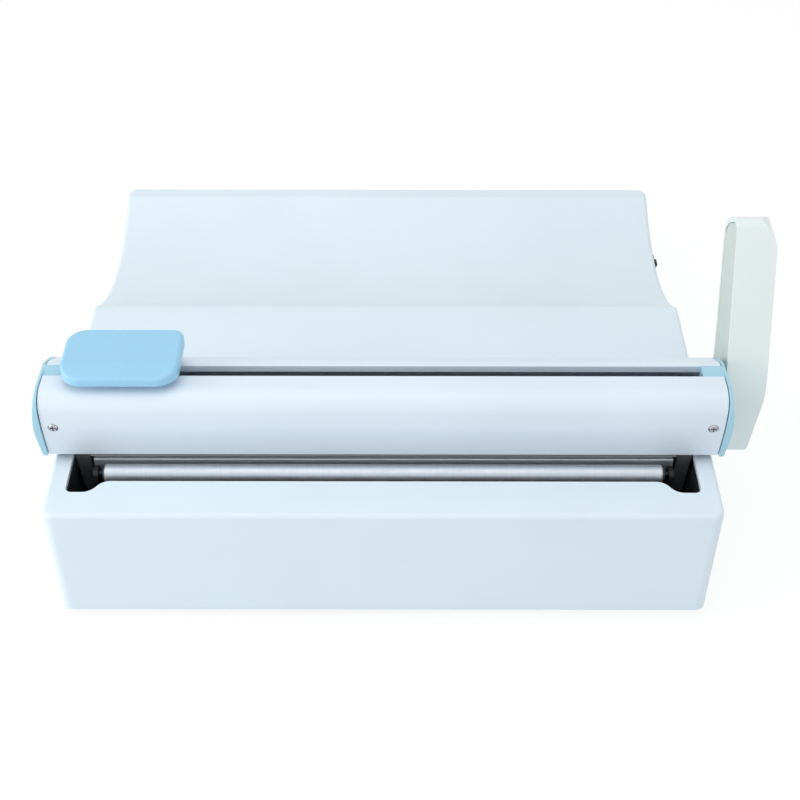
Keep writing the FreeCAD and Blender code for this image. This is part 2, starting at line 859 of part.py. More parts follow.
def make_bottom_plate():
    """The steel plate that closes the housing below, with vent slots and holes."""
    piece = Piece("bottom_plate")
    edge = inner_half - S["plate_clearance"]
    front = S["wall"] + S["plate_clearance"]
    rear = S["base_depth"] - front
    radius = S["corner_radius"] - S["wall"]
    piece.pad("z", 0, S["plate_thickness"], box_outline(-edge, edge, front, rear, radius))
    screws = [Round(x, y, S["screw_radius"] + S["screw_clearance"])
              for x, y in boss_places() + frame_screw_places()]
    stems = [Round(x, y, S["foot_stem_radius"] + S["screw_clearance"]) for x, y in foot_places()]
    piece.pocket("z", -THROUGH, S["plate_thickness"] + THROUGH, *screws, *stems)
    left = S["board_left"] + S["vent_inset"]
    nearest = S["board_front"] + S["vent_margin"]
    vent = box_outline(left, left + S["vent_length"], nearest, nearest + S["vent_width"])
    slots = piece.pocket("z", -THROUGH, S["plate_thickness"] + THROUGH, vent)
    piece.repeat(slots, "Y_Axis", S["vent_spacing"] * (VENTS - 1), VENTS)
    return piece


def make_rubber_feet():
    """Four tapered rubber feet with stems through the bottom plate."""
    piece = Piece("rubber_feet")
    piece.pad("z", -S["foot_height"], 0, *[Round(x, y, S["foot_radius"]) for x, y in foot_places()])
    stem_top = S["plate_thickness"] + S["foot_stem_reach"]
    piece.pad("z", -THROUGH, stem_top, *[Round(x, y, S["foot_stem_radius"]) for x, y in foot_places()])
    rim = -S["foot_height"]
    piece.chamfer(S["foot_bevel"], lambda box: near(box.ZMin, rim) and near(box.ZMax, rim))
    return piece


def make_bottom_screws():
    """Pan head screws that hold the bottom plate."""
    piece = Piece("bottom_screws")
    heads = [Round(x, y, S["screw_head_radius"]) for x, y in boss_places()]
    shanks = [Round(x, y, S["screw_radius"]) for x, y in boss_places()]
    piece.pad("z", -S["screw_head_height"], 0, *heads)
    piece.pad("z", -THROUGH, S["boss_height"] - S["boss_floor"] - THROUGH, *shanks)
    return piece


def make_side_frame(label, side):
    """A steel side plate with an inward flange; it carries the shaft bush and the arm pivot."""
    piece = Piece(label)
    low, high = ordered(side * frame_inner, side * frame_outer)
    top = deck_under - S["frame_top_gap"]
    corner = S["frame_corner_radius"]
    bend = S["frame_bend_radius"]
    margin = S["window_margin"]
    bush = S["shaft_radius"] + S["bush_wall"] + S["running_clearance"]
    plate = Outline(
        (S["frame_front"], S["plate_thickness"]),
        (S["frame_front"], top, corner),
        (shaft_depth + S["frame_shoulder"], top, bend),
        (S["frame_rear"], pivot_height + S["frame_tail_rise"], bend),
        (S["frame_rear"], S["plate_thickness"]),
    )
    piece.pad("x", low, high, plate)
    front_window = box_outline(S["frame_front"] + margin, shaft_depth - margin,
                               S["window_low"], tray_floor - S["window_top_gap"], corner)
    eye_low = pivot_height - S["eye_radius"]
    rear_window = box_outline(shaft_depth + margin, S["pivot_depth"] - margin,
                              S["window_low"], eye_low - S["window_top_gap"], corner)
    piece.pocket("x", low - THROUGH, high + THROUGH, front_window, rear_window,
                 Round(shaft_depth, shaft_height, bush),
                 Round(S["pivot_depth"], pivot_height, S["pivot_radius"] + S["running_clearance"]))
    inward, outward = ordered(side * (frame_inner - S["flange_width"]), side * frame_inner)
    flange = box_outline(inward, outward, S["frame_front"], S["frame_rear"])
    piece.pad("z", S["plate_thickness"], flange_top, flange)
    holes = [Round(x, y, S["screw_radius"] + S["screw_clearance"])
             for x, y in frame_screw_places() if number(x) * side > 0]
    piece.pocket("z", S["plate_thickness"] - THROUGH, flange_top + THROUGH, *holes)
    return piece


def ordered(first, second):
    """Two positions, the lower one first."""
    return (first, second) if number(first) < number(second) else (second, first)


def make_frame_screws():
    """Screws through the flanges of the side frames into the bottom plate."""
    piece = Piece("frame_screws")
    piece.pad("z", flange_top, flange_top + S["screw_head_height"],
              *[Round(x, y, S["screw_head_radius"]) for x, y in frame_screw_places()])
    shanks = [Round(x, y, S["screw_radius"]) for x, y in frame_screw_places()]
    piece.pad("z", S["slip_fit"], flange_top + THROUGH, *shanks)
    return piece


def make_well_tray():
    """The black sheet metal tray under the well, between the side frames."""
    piece = Piece("well_tray")
    front = S["well_end_front"] - S["tray_overlap"]
    rear = S["well_rear"] + S["tray_thickness"]
    thick = S["tray_thickness"]
    top = deck_under - S["tray_gap"]
    section = Outline(
        (front - thick, tray_floor - thick, thick),
        (rear, tray_floor - thick, thick),
        (rear, top),
        (rear - thick, top),
        (rear - thick, tray_floor),
        (front, tray_floor),
        (front, top),
        (front - thick, top),
    )
    piece.pad("x", -frame_inner, frame_inner, section)
    for side in (-1, 1):
        low, high = ordered(side * (arm_inner - S["arm_gap"]), side * (frame_inner + THROUGH))
        passage = box_outline(low, high, tray_floor + S["tray_sill"], top + THROUGH)
        piece.pocket("y", rear - thick - THROUGH, rear + THROUGH, passage)
    return piece


def make_roller_bracket(label, side):
    """A sheet bracket that stands on the tray and holds one end of the roller's axle."""
    piece = Piece(label)
    low, high = ordered(side * bracket_inner, side * bracket_outer)
    half = S["bracket_width"] / 2
    middle = S["roller_depth"]
    head = S["axle_radius"] + S["bracket_cover"]
    shoulder = roller_height - S["bracket_shoulder"]
    corner = S["bracket_corner_radius"]
    piece.pad("x", low, high, Outline(
        (middle - half, tray_floor),
        (middle - half, shoulder, corner),
        (middle - head, roller_height + head, corner),
        (middle + head, roller_height + head, corner),
        (middle + half, shoulder, corner),
        (middle + half, tray_floor),
    ))
    inward, outward = ordered(side * (bracket_inner - S["bracket_foot"]), side * bracket_inner)
    foot = box_outline(inward, outward, middle - half, middle + half)
    piece.pad("z", tray_floor, tray_floor + S["tray_thickness"], foot)
    axle = S["axle_radius"] + S["running_clearance"]
    piece.pocket("x", low - THROUGH, high + THROUGH, Round(middle, roller_height, axle))
    return piece


def make_roller_axle():
    """The fixed steel axle of the guide roller."""
    piece = Piece("roller_axle")
    end = bracket_outer + S["axle_overhang"]
    piece.pad("x", -end, end, Round(S["roller_depth"], roller_height, S["axle_radius"]))
    return piece


def make_guide_roller():
    """The polished steel tube that guides the pouches out of the machine."""
    piece = Piece("guide_roller")
    piece.pad("x", -roller_half, roller_half,
              Round(S["roller_depth"], roller_height, S["roller_radius"]))
    piece.chamfer(S["roller_bevel"],
                  lambda box: near(abs(box.XMin), roller_half) and near(abs(box.XMax), roller_half))
    bore = Round(S["roller_depth"], roller_height, S["roller_radius"] - S["roller_wall"])
    piece.pocket("x", -roller_half - THROUGH, roller_half + THROUGH, bore)
    return piece


def make_roller_plugs():
    """Plastic plugs in the ends of the roller that turn on the axle."""
    piece = Piece("roller_plugs")
    bore = S["axle_radius"] + S["running_clearance"]
    plug = S["roller_radius"] - S["roller_wall"] - S["press_clearance"]
    end = roller_half + S["plug_overhang"]
    for side in (-1, 1):
        low, high = ordered(side * (roller_half - S["plug_length"]), side * end)
        piece.pad("x", low, high, Round(S["roller_depth"], roller_height, plug))
    piece.pocket("x", -end - THROUGH, end + THROUGH, Round(S["roller_depth"], roller_height, bore))
    return piece


def make_lower_jaw():
    """The aluminium lower jaw with the heater channel and the cutting groove."""
    piece = Piece("lower_jaw")
    edge = S["jaw_edge_radius"]
    bend = S["jaw_inner_radius"]
    inner_front = S["jaw_front"] + S["jaw_wall"]
    inner_back = S["jaw_rear"] - S["jaw_wall"]
    ceiling = groove_floor - S["jaw_wall"]
    piece.pad("x", -jaw_half, jaw_half, Outline(
        (S["jaw_front"], tray_floor),
        (S["jaw_front"], jaw_top, edge),
        (S["heater_front"], jaw_top),
        (S["heater_front"], heater_floor),
        (heater_rear, heater_floor),
        (heater_rear, jaw_top),
        (S["groove_front"], jaw_top),
        (S["groove_front"], groove_floor),
        (groove_rear, groove_floor),
        (groove_rear, jaw_top),
        (S["jaw_rear"], jaw_top, edge),
        (S["jaw_rear"], tray_floor),
        (inner_back, tray_floor),
        (inner_back, ceiling, bend),
        (inner_front, ceiling, bend),
        (inner_front, tray_floor),
    ))
    return piece


def jaw_insert(label, shrink, low, high):
    """A strip that lies in the heater channel."""
    piece = Piece(label)
    front = S["heater_front"] + shrink
    rear = heater_rear - shrink
    end = jaw_half - shrink
    piece.pad("x", -end, end, box_outline(front, rear, low, high))
    return piece


def make_heater():
    """Insulator, heating bar and the non-stick sheet over them."""
    bar_floor = heater_floor + S["insulator_thickness"]
    insulator = jaw_insert("heater_insulator", S["slip_fit"], heater_floor, bar_floor)
    heating_bar = jaw_insert("heating_bar", S["slip_fit"], bar_floor, deck)
    sheet_top = deck + S["cover_sheet_thickness"]
    sheet_cover = jaw_insert("nonstick_sheet", -S["cover_sheet_lap"], deck, sheet_top)
    return [insulator, heating_bar, sheet_cover]


def make_cutting_strip():
    """The plastic channel in the cutting groove that the blade runs over."""
    piece = Piece("cutting_strip")
    front = S["groove_front"] + S["groove_fit"]
    rear = groove_rear - S["groove_fit"]
    wall = S["groove_wall"]
    bed = groove_floor + S["groove_floor_thickness"]
    piece.pad("x", -jaw_half, jaw_half, Outline(
        (front, groove_floor), (rear, groove_floor), (rear, jaw_top), (rear - wall, jaw_top),
        (rear - wall, bed), (front + wall, bed), (front + wall, jaw_top), (front, jaw_top),
    ))
    return piece


def make_thermostat():
    """The temperature sensor under the lower jaw."""
    piece = Piece("thermostat")
    middle = (S["jaw_front"] + S["jaw_rear"]) / 2
    top = groove_floor - S["jaw_wall"]
    low = top - S["thermostat_height"]
    ear = S["thermostat_ear"]
    half = S["thermostat_ear_half"]
    flange = low + S["thermostat_flange"]
    piece.pad("z", flange, top, Round(0, middle, S["thermostat_radius"]))
    piece.pad("z", low, flange, box_outline(-ear, ear, middle - half, middle + half, S["neck_radius"]))
    return piece


def make_shaft_bush(label, side):
    """A flanged bearing bush for the cross shaft; the right one reaches through the housing wall."""
    piece = Piece(label)
    outer = S["shaft_radius"] + S["bush_wall"]
    flange = S["bush_flange"]
    reach = (half_width if side > 0 else frame_outer) + flange
    low, high = ordered(side * frame_inner, side * reach)
    inward, outward = ordered(side * (frame_inner - flange), side * frame_inner)
    piece.pad("x", low, high, Round(shaft_depth, shaft_height, outer))
    piece.pad("x", inward, outward, Round(shaft_depth, shaft_height, outer + S["bush_flange_rise"]))
    span = ordered(side * (frame_inner - flange - THROUGH), side * (reach + THROUGH))
    bore = S["shaft_radius"] + S["running_clearance"]
    piece.pocket("x", span[0], span[1], Round(shaft_depth, shaft_height, bore))
    return piece


def make_pivot_pin(label, side):
    """A headed pin that carries one press arm on its side frame."""
    piece = Piece(label)
    start = arm_inner - S["pivot_head_gap"]
    low, high = ordered(side * start, side * (frame_outer + S["pivot_reach"]))
    head = ordered(side * (start - S["pivot_head_thickness"]), side * start)
    head_radius = S["pivot_radius"] + S["pivot_head_rise"]
    piece.pad("x", low, high, Round(S["pivot_depth"], pivot_height, S["pivot_radius"]))
    piece.pad("x", head[0], head[1], Round(S["pivot_depth"], pivot_height, head_radius))
    return piece


def make_return_spring(label, side):
    """A coil spring of flat wire that lifts one press arm off the jaw."""
    piece = Piece(label)
    middle = side * (arm_inner + arm_outer) / 2
    across = S["spring_wire_width"] / 2
    tall = S["spring_wire_height"] / 2
    low = flange_top + tall
    height = arm_low - S["spring_gap"] - tall - low
    wire = box_outline(S["spring_radius"] - across, S["spring_radius"] + across, -tall, tall)
    sketch = piece.sketch("y", S["spring_depth"], [wire])
    sketch.AttachmentOffset = FreeCAD.Placement(
        FreeCAD.Vector(number(middle), number(low), -number(S["spring_depth"])), FreeCAD.Rotation())
    bind(sketch, "AttachmentOffset.Base.x", middle)
    bind(sketch, "AttachmentOffset.Base.y", low)
    helix = piece.body.newObject("PartDesign::AdditiveHelix", "coil")
    helix.Profile = sketch
    helix.ReferenceAxis = (sketch, ["V_Axis"])
    helix.Mode = "pitch-height-angle"
    bind(helix, "Pitch", S["spring_pitch"])
    bind(helix, "Height", height)
    return piece


def make_press_arm(label, side):
    """A steel arm: pivot eye at the rear, saddle under the eccentric, upright and head in the bar."""
    piece = Piece(label)
    low, high = ordered(side * arm_inner, side * arm_outer)
    head_top = beam_low + S["arm_head_height"]
    corner = S["arm_head_radius"]
    bend = S["arm_bend_radius"]
    eye = S["eye_radius"] - S["eye_blend"]
    piece.pad("x", low, high, Outline(
        (S["arm_foot_front"], arm_low, S["arm_foot_radius"]),
        (S["beam_front"], beam_low),
        (S["beam_front"], head_top, corner),
        (S["beam_rear"], head_top, corner),
        (S["beam_rear"], beam_low, corner),
        (S["beam_front"] + S["arm_neck"], beam_low, corner),
        (S["arm_waist"], arm_top, S["arm_waist_radius"]),
        (shaft_depth + S["arm_saddle"], arm_top, bend),
        (S["pivot_depth"], pivot_height + eye),
        (S["pivot_depth"], pivot_height - eye),
        (S["pivot_depth"] - S["arm_tail"], arm_low, bend),
    ))
    piece.pad("x", low, high, Round(S["pivot_depth"], pivot_height, S["eye_radius"]))
    bore = S["pivot_radius"] + S["running_clearance"]
    holes = [Round(depth, height, S["arm_screw_radius"] + S["screw_clearance"])
             for depth, height in arm_screw_places()]
    piece.pocket("x", low - THROUGH, high + THROUGH, Round(S["pivot_depth"], pivot_height, bore), *holes)
    return piece


def arm_screw_places():
    """Depth and height of the two screws at each end of the bar."""
    height = beam_low + S["beam_height"] / 2
    front = (S["beam_front"] + S["beam_split_front"]) / 2
    rear = (S["beam_split_rear"] + S["beam_rear"]) / 2
    return [(front, height), (rear, height)]


def make_arm_screws():
    """Screws through the arm heads into the ends of the two beams."""
    piece = Piece("arm_screws")
    for side in (-1, 1):
        head = ordered(side * arm_outer, side * (arm_outer + S["arm_screw_head_height"]))
        shank = ordered(side * (arm_outer + THROUGH), side * (arm_outer - S["arm_screw_length"]))
        for depth, height in arm_screw_places():
            piece.pad("x", head[0], head[1], Round(depth, height, S["arm_screw_head_radius"]))
            piece.pad("x", shank[0], shank[1], Round(depth, height, S["arm_screw_radius"]))
    return piece


def make_beam(label, front, rear, at):
    """A rectangular tube with a solid plug for the end screws."""
    piece = Piece(label)
    wall = S["beam_wall"]
    tube = box_outline(front, rear, beam_low, beam_top, S["beam_edge_radius"])
    piece.pad("x", -arm_inner, arm_inner, tube)
    end = arm_inner - S["arm_screw_length"]
    piece.pocket("x", -end, end, box_outline(front + wall, rear - wall, beam_low + wall, beam_top - wall))
    depth, height = arm_screw_places()[at]
    hole = Round(depth, height, S["arm_screw_radius"] + S["screw_clearance"])
    piece.pocket("x", -arm_inner - THROUGH, arm_inner + THROUGH, hole)
    return piece


def make_pressure_strip():
    """The silicone strip under the front beam that presses the film on the heater."""
    piece = Piece("pressure_strip")
    end = arm_inner - S["strip_end_gap"]
    rear = S["strip_front"] + S["strip_width"]
    piece.pad("x", -end, end, box_outline(S["strip_front"], rear, deck + S["strip_gap"], beam_low))
    return piece


def front_face(proud):
    """Corners of the bar's outer front face, from its lower edge up to the nose."""
    return [
        (S["bar_lower_front"] - proud, bar_low - proud / 2),
        (S["bar_front"] - proud, bar_low + S["bar_height"] / 2, S["bar_bulge_radius"]),
        (S["bar_front"] + S["nose_lean"] - proud, bar_top, S["nose_radius"]),
    ]


def rear_face(proud):
    """Corners of the bar's outer rear face, from behind the slot down to the lower edge."""
    return [
        (slot_rear + S["bar_crest"], slot_rear_edge - S["bar_crest_drop"], S["bar_crest_radius"]),
        (S["bar_rear_shoulder"] + proud, bar_top - S["bar_rear_drop"] + proud, S["bar_rear_radius"]),
        (S["bar_rear"] + proud, bar_low - proud / 2),
    ]


def make_front_cover():
    """The white front moulding of the press bar, from its lower edge to the cutter's slot."""
    piece = Piece("front_cover")
    wall = S["cover_wall"]
    lip_back = S["slot_front"] - S["slot_lip_wall"]
    nose_inside = S["bar_front"] + S["nose_lean"] + wall
    inner = [
        (S["slot_front"], slot_front_edge, S["slot_edge_radius"]),
        (S["slot_front"], lip_low),
        (lip_back, lip_low),
        (lip_back, slot_front_edge - wall),
        (nose_inside, bar_top - wall, S["nose_radius"] - wall),
        (S["bar_front"] + wall, bar_low + S["bar_height"] / 2, S["bar_bulge_radius"] - wall),
        (S["bar_lower_front"] + wall, bar_low),
    ]
    piece.pad("x", -cover_half, cover_half, Outline(*(front_face(0) + inner)))
    outside = S["bar_front"] - THROUGH
    for side in (-1, 1):
        place = side * cover_screw_side
        head = Round(place, cover_screw_up, S["screw_head_radius"] + S["hub_clearance"])
        hole = Round(place, cover_screw_up, S["screw_radius"] + S["screw_clearance"])
        piece.pocket("y", outside, S["bar_front"] + S["cover_screw_sink"], head)
        piece.pocket("y", outside, nose_inside + THROUGH, hole)
    return piece


def make_rear_cover():
    """The white rear moulding of the press bar, from the slot down to the rear lower edge."""
    piece = Piece("rear_cover")
    wall = S["cover_wall"]
    lip_back = slot_rear + S["slot_lip_wall"]
    ceiling = slot_rear_edge - wall - S["bar_crest_drop"] / 2
    inner = [
        (S["bar_rear"] - wall, bar_low),
        (S["bar_rear_shoulder"] - wall, bar_top - S["bar_rear_drop"] - wall / 2, S["bar_rear_radius"] - wall),
        (lip_back + wall / 2, ceiling),
        (lip_back, ceiling),
        (lip_back, lip_low),
        (slot_rear, lip_low),
    ]
    edge = (slot_rear, slot_rear_edge, S["slot_edge_radius"])
    piece.pad("x", -cover_half, cover_half, Outline(edge, *(rear_face(0) + inner)))
    return piece


def make_end_cap(label, side):
    """A light blue end cap: a bellied plate, the tab in the slot, a lug and a stay."""
    piece = Piece(label)
    low, high = ordered(side * cap_inner, side * cap_outer)
    crest = (S["slot_front"], slot_front_edge, S["bar_bulge_radius"])
    piece.pad("x", low, high, Outline(*(front_face(S["cap_proud"]) + [crest] + rear_face(0))))
    bottom = bar_low - THROUGH
    bend = S["cap_shoulder_radius"]
    clear = cap_outer + THROUGH
    belly = Outline(
        (side * (cap_inner + S["cap_low_thickness"]), bottom),
        (side * cap_outer, bar_low + S["cap_belly"], bend),
        (side * cap_outer, bar_top - S["cap_shoulder"], bend),
        (side * (cap_inner + S["cap_top_thickness"]), bar_top),
        (side * clear, bar_top),
        (side * clear, bottom),
    )
    piece.pocket("y", S["bar_front"] - S["cap_shoulder"], S["bar_rear"] + S["cap_shoulder"], belly)

    def outer_rim(box):
        flat = near(box.XMin, side * cap_outer) and near(box.XMax, side * cap_outer)
        return flat and box.ZMax > number(bar_low) + number(S["cap_edge_radius"])

    piece.fillet(S["cap_edge_radius"], outer_rim)
    tab = ordered(side * (cap_inner - S["tab_length"]), side * cap_inner)
    fit = S["slip_fit"]
    piece.pad("x", tab[0], tab[1], box_outline(
        S["slot_front"] + fit, slot_rear - fit, lip_low - S["tab_depth"], bar_top - S["tab_drop"]))
    lug = ordered(side * (cap_inner - S["lug_length"]), side * cap_inner)
    front = S["bar_front"] + S["cover_wall"] + THROUGH
    half = S["lug_height"] / 2
    radius = S["block_radius"]
    piece.pad("x", lug[0], lug[1], box_outline(
        front, front + S["lug_depth"], cover_screw_up - half, cover_screw_up + half, radius))
    stay = ordered(side * arm_outer, side * cap_inner)
    middle = (S["beam_split_front"] + S["beam_split_rear"]) / 2
    stay_low = beam_low + S["stay_lift"]
    piece.pad("x", stay[0], stay[1], box_outline(
        middle - S["stay_width"] / 2, middle + S["stay_width"] / 2,
        stay_low, stay_low + S["stay_height"], radius))
    hole = Round(side * cover_screw_side, cover_screw_up, S["screw_radius"] + S["screw_clearance"] / 2)
    piece.pocket("y", front - THROUGH, front + S["lug_depth"] - 2 * THROUGH, hole)
    return piece


def make_cover_screws():
    """The two cross recess screws at the ends of the front cover."""
    piece = Piece("cover_screws")
    front = S["bar_front"] - S["cover_screw_rise"]
    seat = S["bar_front"] + S["cover_screw_sink"]
    end = S["bar_front"] + S["cover_screw_length"]
    reach = S["cross_reach"]
    half = S["cross_half"]
    for side in (-1, 1):
        place = side * cover_screw_side
        piece.pad("y", front, seat, Round(place, cover_screw_up, S["screw_head_radius"]))
        piece.pad("y", seat - S["axle_overhang"], end, Round(place, cover_screw_up, S["screw_radius"]))
    piece.chamfer(S["cover_screw_bevel"], lambda box: near(box.YMin, front) and near(box.YMax, front))
    for side in (-1, 1):
        for across, up in ((reach, half), (half, reach)):
            place = side * cover_screw_side
            slot = box_outline(place - across, place + across, cover_screw_up - up, cover_screw_up + up)
            piece.pocket("y", front - THROUGH, front + S["cross_depth"], slot)
    return piece


def make_cross_shaft():
    """The steel shaft across the machine that the lever turns."""
    piece = Piece("cross_shaft")
    left = -(frame_outer + S["shaft_overhang"])
    piece.pad("x", left, shaft_end, Round(shaft_depth, shaft_height, S["shaft_radius"]))
    return piece


def make_eccentric(label, side):
    """An eccentric on the shaft that pushes one press arm down."""
    piece = Piece(label)
    low, high = ordered(side * arm_inner, side * arm_outer)
    piece.pad("x", low, high, Round(cam_depth, cam_height, S["eccentric_radius"]))
    piece.pocket("x", low - THROUGH, high + THROUGH, shaft_bore())
    return piece


def shaft_bore():
    """The bore of a part that is fixed on the cross shaft."""
    return Round(shaft_depth, shaft_height, S["shaft_radius"] + S["press_clearance"])


def make_shaft_collar():
    """The collar that keeps the shaft's left end in its bush."""
    piece = Piece("shaft_collar")
    low = -(frame_outer + S["shaft_overhang"])
    high = low + S["collar_width"]
    piece.pad("x", low, high, Round(shaft_depth, shaft_height, S["shaft_radius"] + S["collar_rise"]))
    piece.pocket("x", low - THROUGH, high + THROUGH, shaft_bore())
    return piece


lever_low = derived("lever_low", shaft_height - S["lever_foot_radius"])
lever_bend = derived("lever_bend", shaft_height + S["lever_bend_height"])
lever_top = derived("lever_top", shaft_height + S["lever_reach"])
lever_front = derived("lever_front_depth", shaft_depth - S["lever_front"])
lever_rear = derived("lever_rear_depth", lever_front + S["lever_breadth"])


def lever_front_at(height):
    """Depth of the lever's leaning front edge at a height."""
    return lever_front + (height - lever_bend) * tangent(S["lever_lean_angle"])


def lever_rear_at(height):
    """Depth of the lever's leaning rear edge at a height."""
    return lever_rear + (height - lever_bend) * tangent(S["lever_rear_angle"])


def lever_side(inset, top, end_radius, tip_radius, end_drop):
    """Side view of the lever: a round foot on the shaft, a bend, and a blade that leans back."""
    foot = S["lever_foot_radius"]
    side = foot + S["lever_bulge"] - inset
    bend = S["lever_bend_radius"]
    rear_bend = lever_bend - S["lever_rear_bend_drop"]
    return Outline(
        (shaft_depth - side, lever_low + inset, foot - inset),
        (shaft_depth + side, lever_low + inset, foot - inset),
        (lever_rear + S["lever_rear_bend"] - inset, rear_bend, bend),
        (lever_rear_at(top - end_drop) - inset, top - end_drop, end_radius),
        (lever_front_at(top) + inset / 2, top, tip_radius),
        (lever_front + inset, lever_bend, bend),
    )


def lever_outline(inset):
    """The lever's full side view, shrunk by an inset."""
    top = lever_top - inset * 1.5
    return lever_side(inset, top, S["lever_end_radius"] - inset, S["lever_tip_radius"], S["lever_end_drop"])


def make_lever_handle():
    """The white lever: rounded at its top corner, hollow on the inside, with a boss for its screw."""
    piece = Piece("lever_handle")
    piece.pad("x", lever_inner, lever_outer, lever_outline(0))
    arc = S["lever_corner_radius"]
    edge = S["lever_foot_edge"]
    spare = S["lever_taper_drop"]
    piece.pocket("y", lever_front - arc, lever_rear_at(lever_top) + arc, Outline(
        (lever_outer - arc - THROUGH, lever_top),
        (lever_outer, lever_top, arc),
        (lever_outer, lever_bend - spare, S["lever_taper_radius"]),
        (lever_foot_face, lever_low, edge),
        (lever_foot_face - edge - THROUGH, lever_low),
        (lever_foot_face - edge - THROUGH, lever_low - spare),
        (lever_outer + spare, lever_low - spare),
        (lever_outer + spare, lever_top + spare),
        (lever_outer - arc - THROUGH, lever_top + spare),
    ))
    start = lever_inner - THROUGH
    piece.pocket("x", start, lever_inner + S["lever_rebate"], lever_outline(S["lever_shell"]))
    radius = S["lever_hollow_radius"]
    hollow = lever_side(S["lever_shell"] + S["lever_ledge"], lever_top - arc, radius, radius, 0)
    boss = Round(shaft_depth, shaft_height, S["lever_boss_radius"])
    piece.pocket("x", start, lever_foot_face - S["lever_shell"], hollow, boss)
    piece.pocket("x", start, hub_end, Round(shaft_depth, shaft_height, S["lever_boss_radius"] + THROUGH))
    bore = Round(shaft_depth, shaft_height, S["lever_boss_bore"])
    piece.pocket("x", hub_end - THROUGH, lever_outer, bore)
    seat = Round(shaft_depth, shaft_height, S["lever_screw_head_radius"] + S["hub_clearance"])
    piece.pocket("x", lever_screw_seat, lever_outer + THROUGH, seat)
    return piece


def make_lever_inner_cover():
    """The plate that closes the lever on the side of the machine."""
    piece = Piece("lever_inner_cover")
    low = lever_inner + S["lever_cover_sink"]
    high = low + S["lever_shell"]
    piece.pad("x", low, high, lever_outline(S["lever_shell"] + S["slip_fit"]))
    hole = Round(shaft_depth, shaft_height, S["hub_radius"] + S["hub_clearance"])
    piece.pocket("x", low - THROUGH, high + THROUGH, hole)
    return piece


def make_lever_hub():
    """The steel hub that clamps the lever to the shaft."""
    piece = Piece("lever_hub")
    piece.pad("x", hub_start, hub_end, Round(shaft_depth, shaft_height, S["hub_radius"]))
    piece.chamfer(S["hub_bevel"], lambda box: near(box.XMin, hub_start) and near(box.XMax, hub_start))
    piece.pocket("x", hub_start - THROUGH, hub_end + THROUGH, shaft_bore())
    return piece


def make_lever_screw():
    """The screw that fastens the lever on its hub from outside."""
    piece = Piece("lever_screw")
    top = lever_screw_seat + S["lever_screw_head_height"]
    piece.pad("x", lever_screw_seat, top, Round(shaft_depth, shaft_height, S["lever_screw_head_radius"]))
    shank = Round(shaft_depth, shaft_height, S["lever_screw_radius"])
    piece.pad("x", shaft_end, lever_screw_seat + THROUGH, shank)
    piece.chamfer(S["lever_screw_bevel"], lambda box: near(box.XMin, top) and near(box.XMax, top))
    reach = S["lever_cross_reach"]
    half = S["lever_cross_half"]
    for across, up in ((reach, half), (half, reach)):
        slot = box_outline(shaft_depth - across, shaft_depth + across, shaft_height - up, shaft_height + up)
        piece.pocket("x", top - S["lever_cross_depth"], top + THROUGH, slot)
    return piece


def make_cutter_handle():
    """The light blue slider of the cutter: a shallow cap, sloped at the front, with a neck below."""
    piece = Piece("cutter_handle")
    left = -S["cutter_start"] - S["cutter_width"] / 2
    right = left + S["cutter_width"]
    front = S["cutter_front"]
    rear = front + S["cutter_depth"]
    low = bar_top + S["cutter_lift"]
    high = low + S["cutter_height"]

    def plan(inset):
        arc = S["cutter_front_radius"] - inset
        near_arc = S["cutter_rear_radius"] - inset
        far_arc = S["cutter_far_radius"] - inset
        return Outline((left + inset, front + inset, arc), (right - inset, front + inset, arc),
                       (right - inset, rear - inset, near_arc), (left + inset, rear - inset, far_arc))

    piece.pad("z", low, high, plan(0))
    slope = S["cutter_slope_length"]
    crease = front + slope
    piece.pocket("x", left - THROUGH, right + THROUGH, Outline(
        (front - THROUGH, high - S["cutter_slope_drop"] * (1 + THROUGH / slope)),
        (crease, high),
        (crease, high + THROUGH),
        (front - THROUGH, high + THROUGH),
    ))

    def upper_rim(box):
        on_crease = near(box.YMin, crease) and near(box.YMax, crease)
        return box.ZMin > number(low) + number(THROUGH) and not on_crease

    piece.fillet(S["cutter_edge_radius"], upper_rim)
    shell = S["cutter_shell"]
    ceiling = high - S["cutter_slope_drop"]
    piece.pocket("z", low - THROUGH, ceiling - shell, plan(shell))
    half = S["neck_length"] / 2
    neck = box_outline(-S["cutter_start"] - half, -S["cutter_start"] + half,
                       S["slot_front"] + S["neck_gap"], slot_rear - S["neck_gap"], S["neck_radius"])
    piece.pad("z", carriage_low + S["carriage_height"], ceiling - THROUGH, neck)
    return piece


def make_cutter_carriage():
    """The plastic carriage that runs on the beams under the slot, with the keel for the blade."""
    piece = Piece("cutter_carriage")
    half = S["carriage_length"] / 2
    plate = box_outline(-S["cutter_start"] - half, -S["cutter_start"] + half,
                        S["carriage_front"], S["carriage_rear"], S["carriage_corner_radius"])
    piece.pad("z", carriage_low, carriage_low + S["carriage_height"], plate)
    keel_half = S["keel_length"] / 2
    keel_rear = S["keel_front"] + S["keel_thickness"]
    keel = box_outline(-S["cutter_start"] - keel_half, -S["cutter_start"] + keel_half,
                       S["keel_front"], keel_rear)
    piece.pad("z", carriage_low - S["keel_depth"], carriage_low + THROUGH, keel)
    piece.pocket("y", S["keel_front"] - THROUGH, keel_rear + THROUGH, *blade_holes())
    return piece


def blade_screw_places():
    """Where the blade's two screws stand along the machine."""
    return [-S["cutter_start"] - S["blade_screw_offset"], -S["cutter_start"] + S["blade_screw_offset"]]


def blade_holes():
    """The holes for the blade's screws."""
    radius = S["blade_screw_radius"] + S["running_clearance"]
    return [Round(place, blade_screw_height, radius) for place in blade_screw_places()]


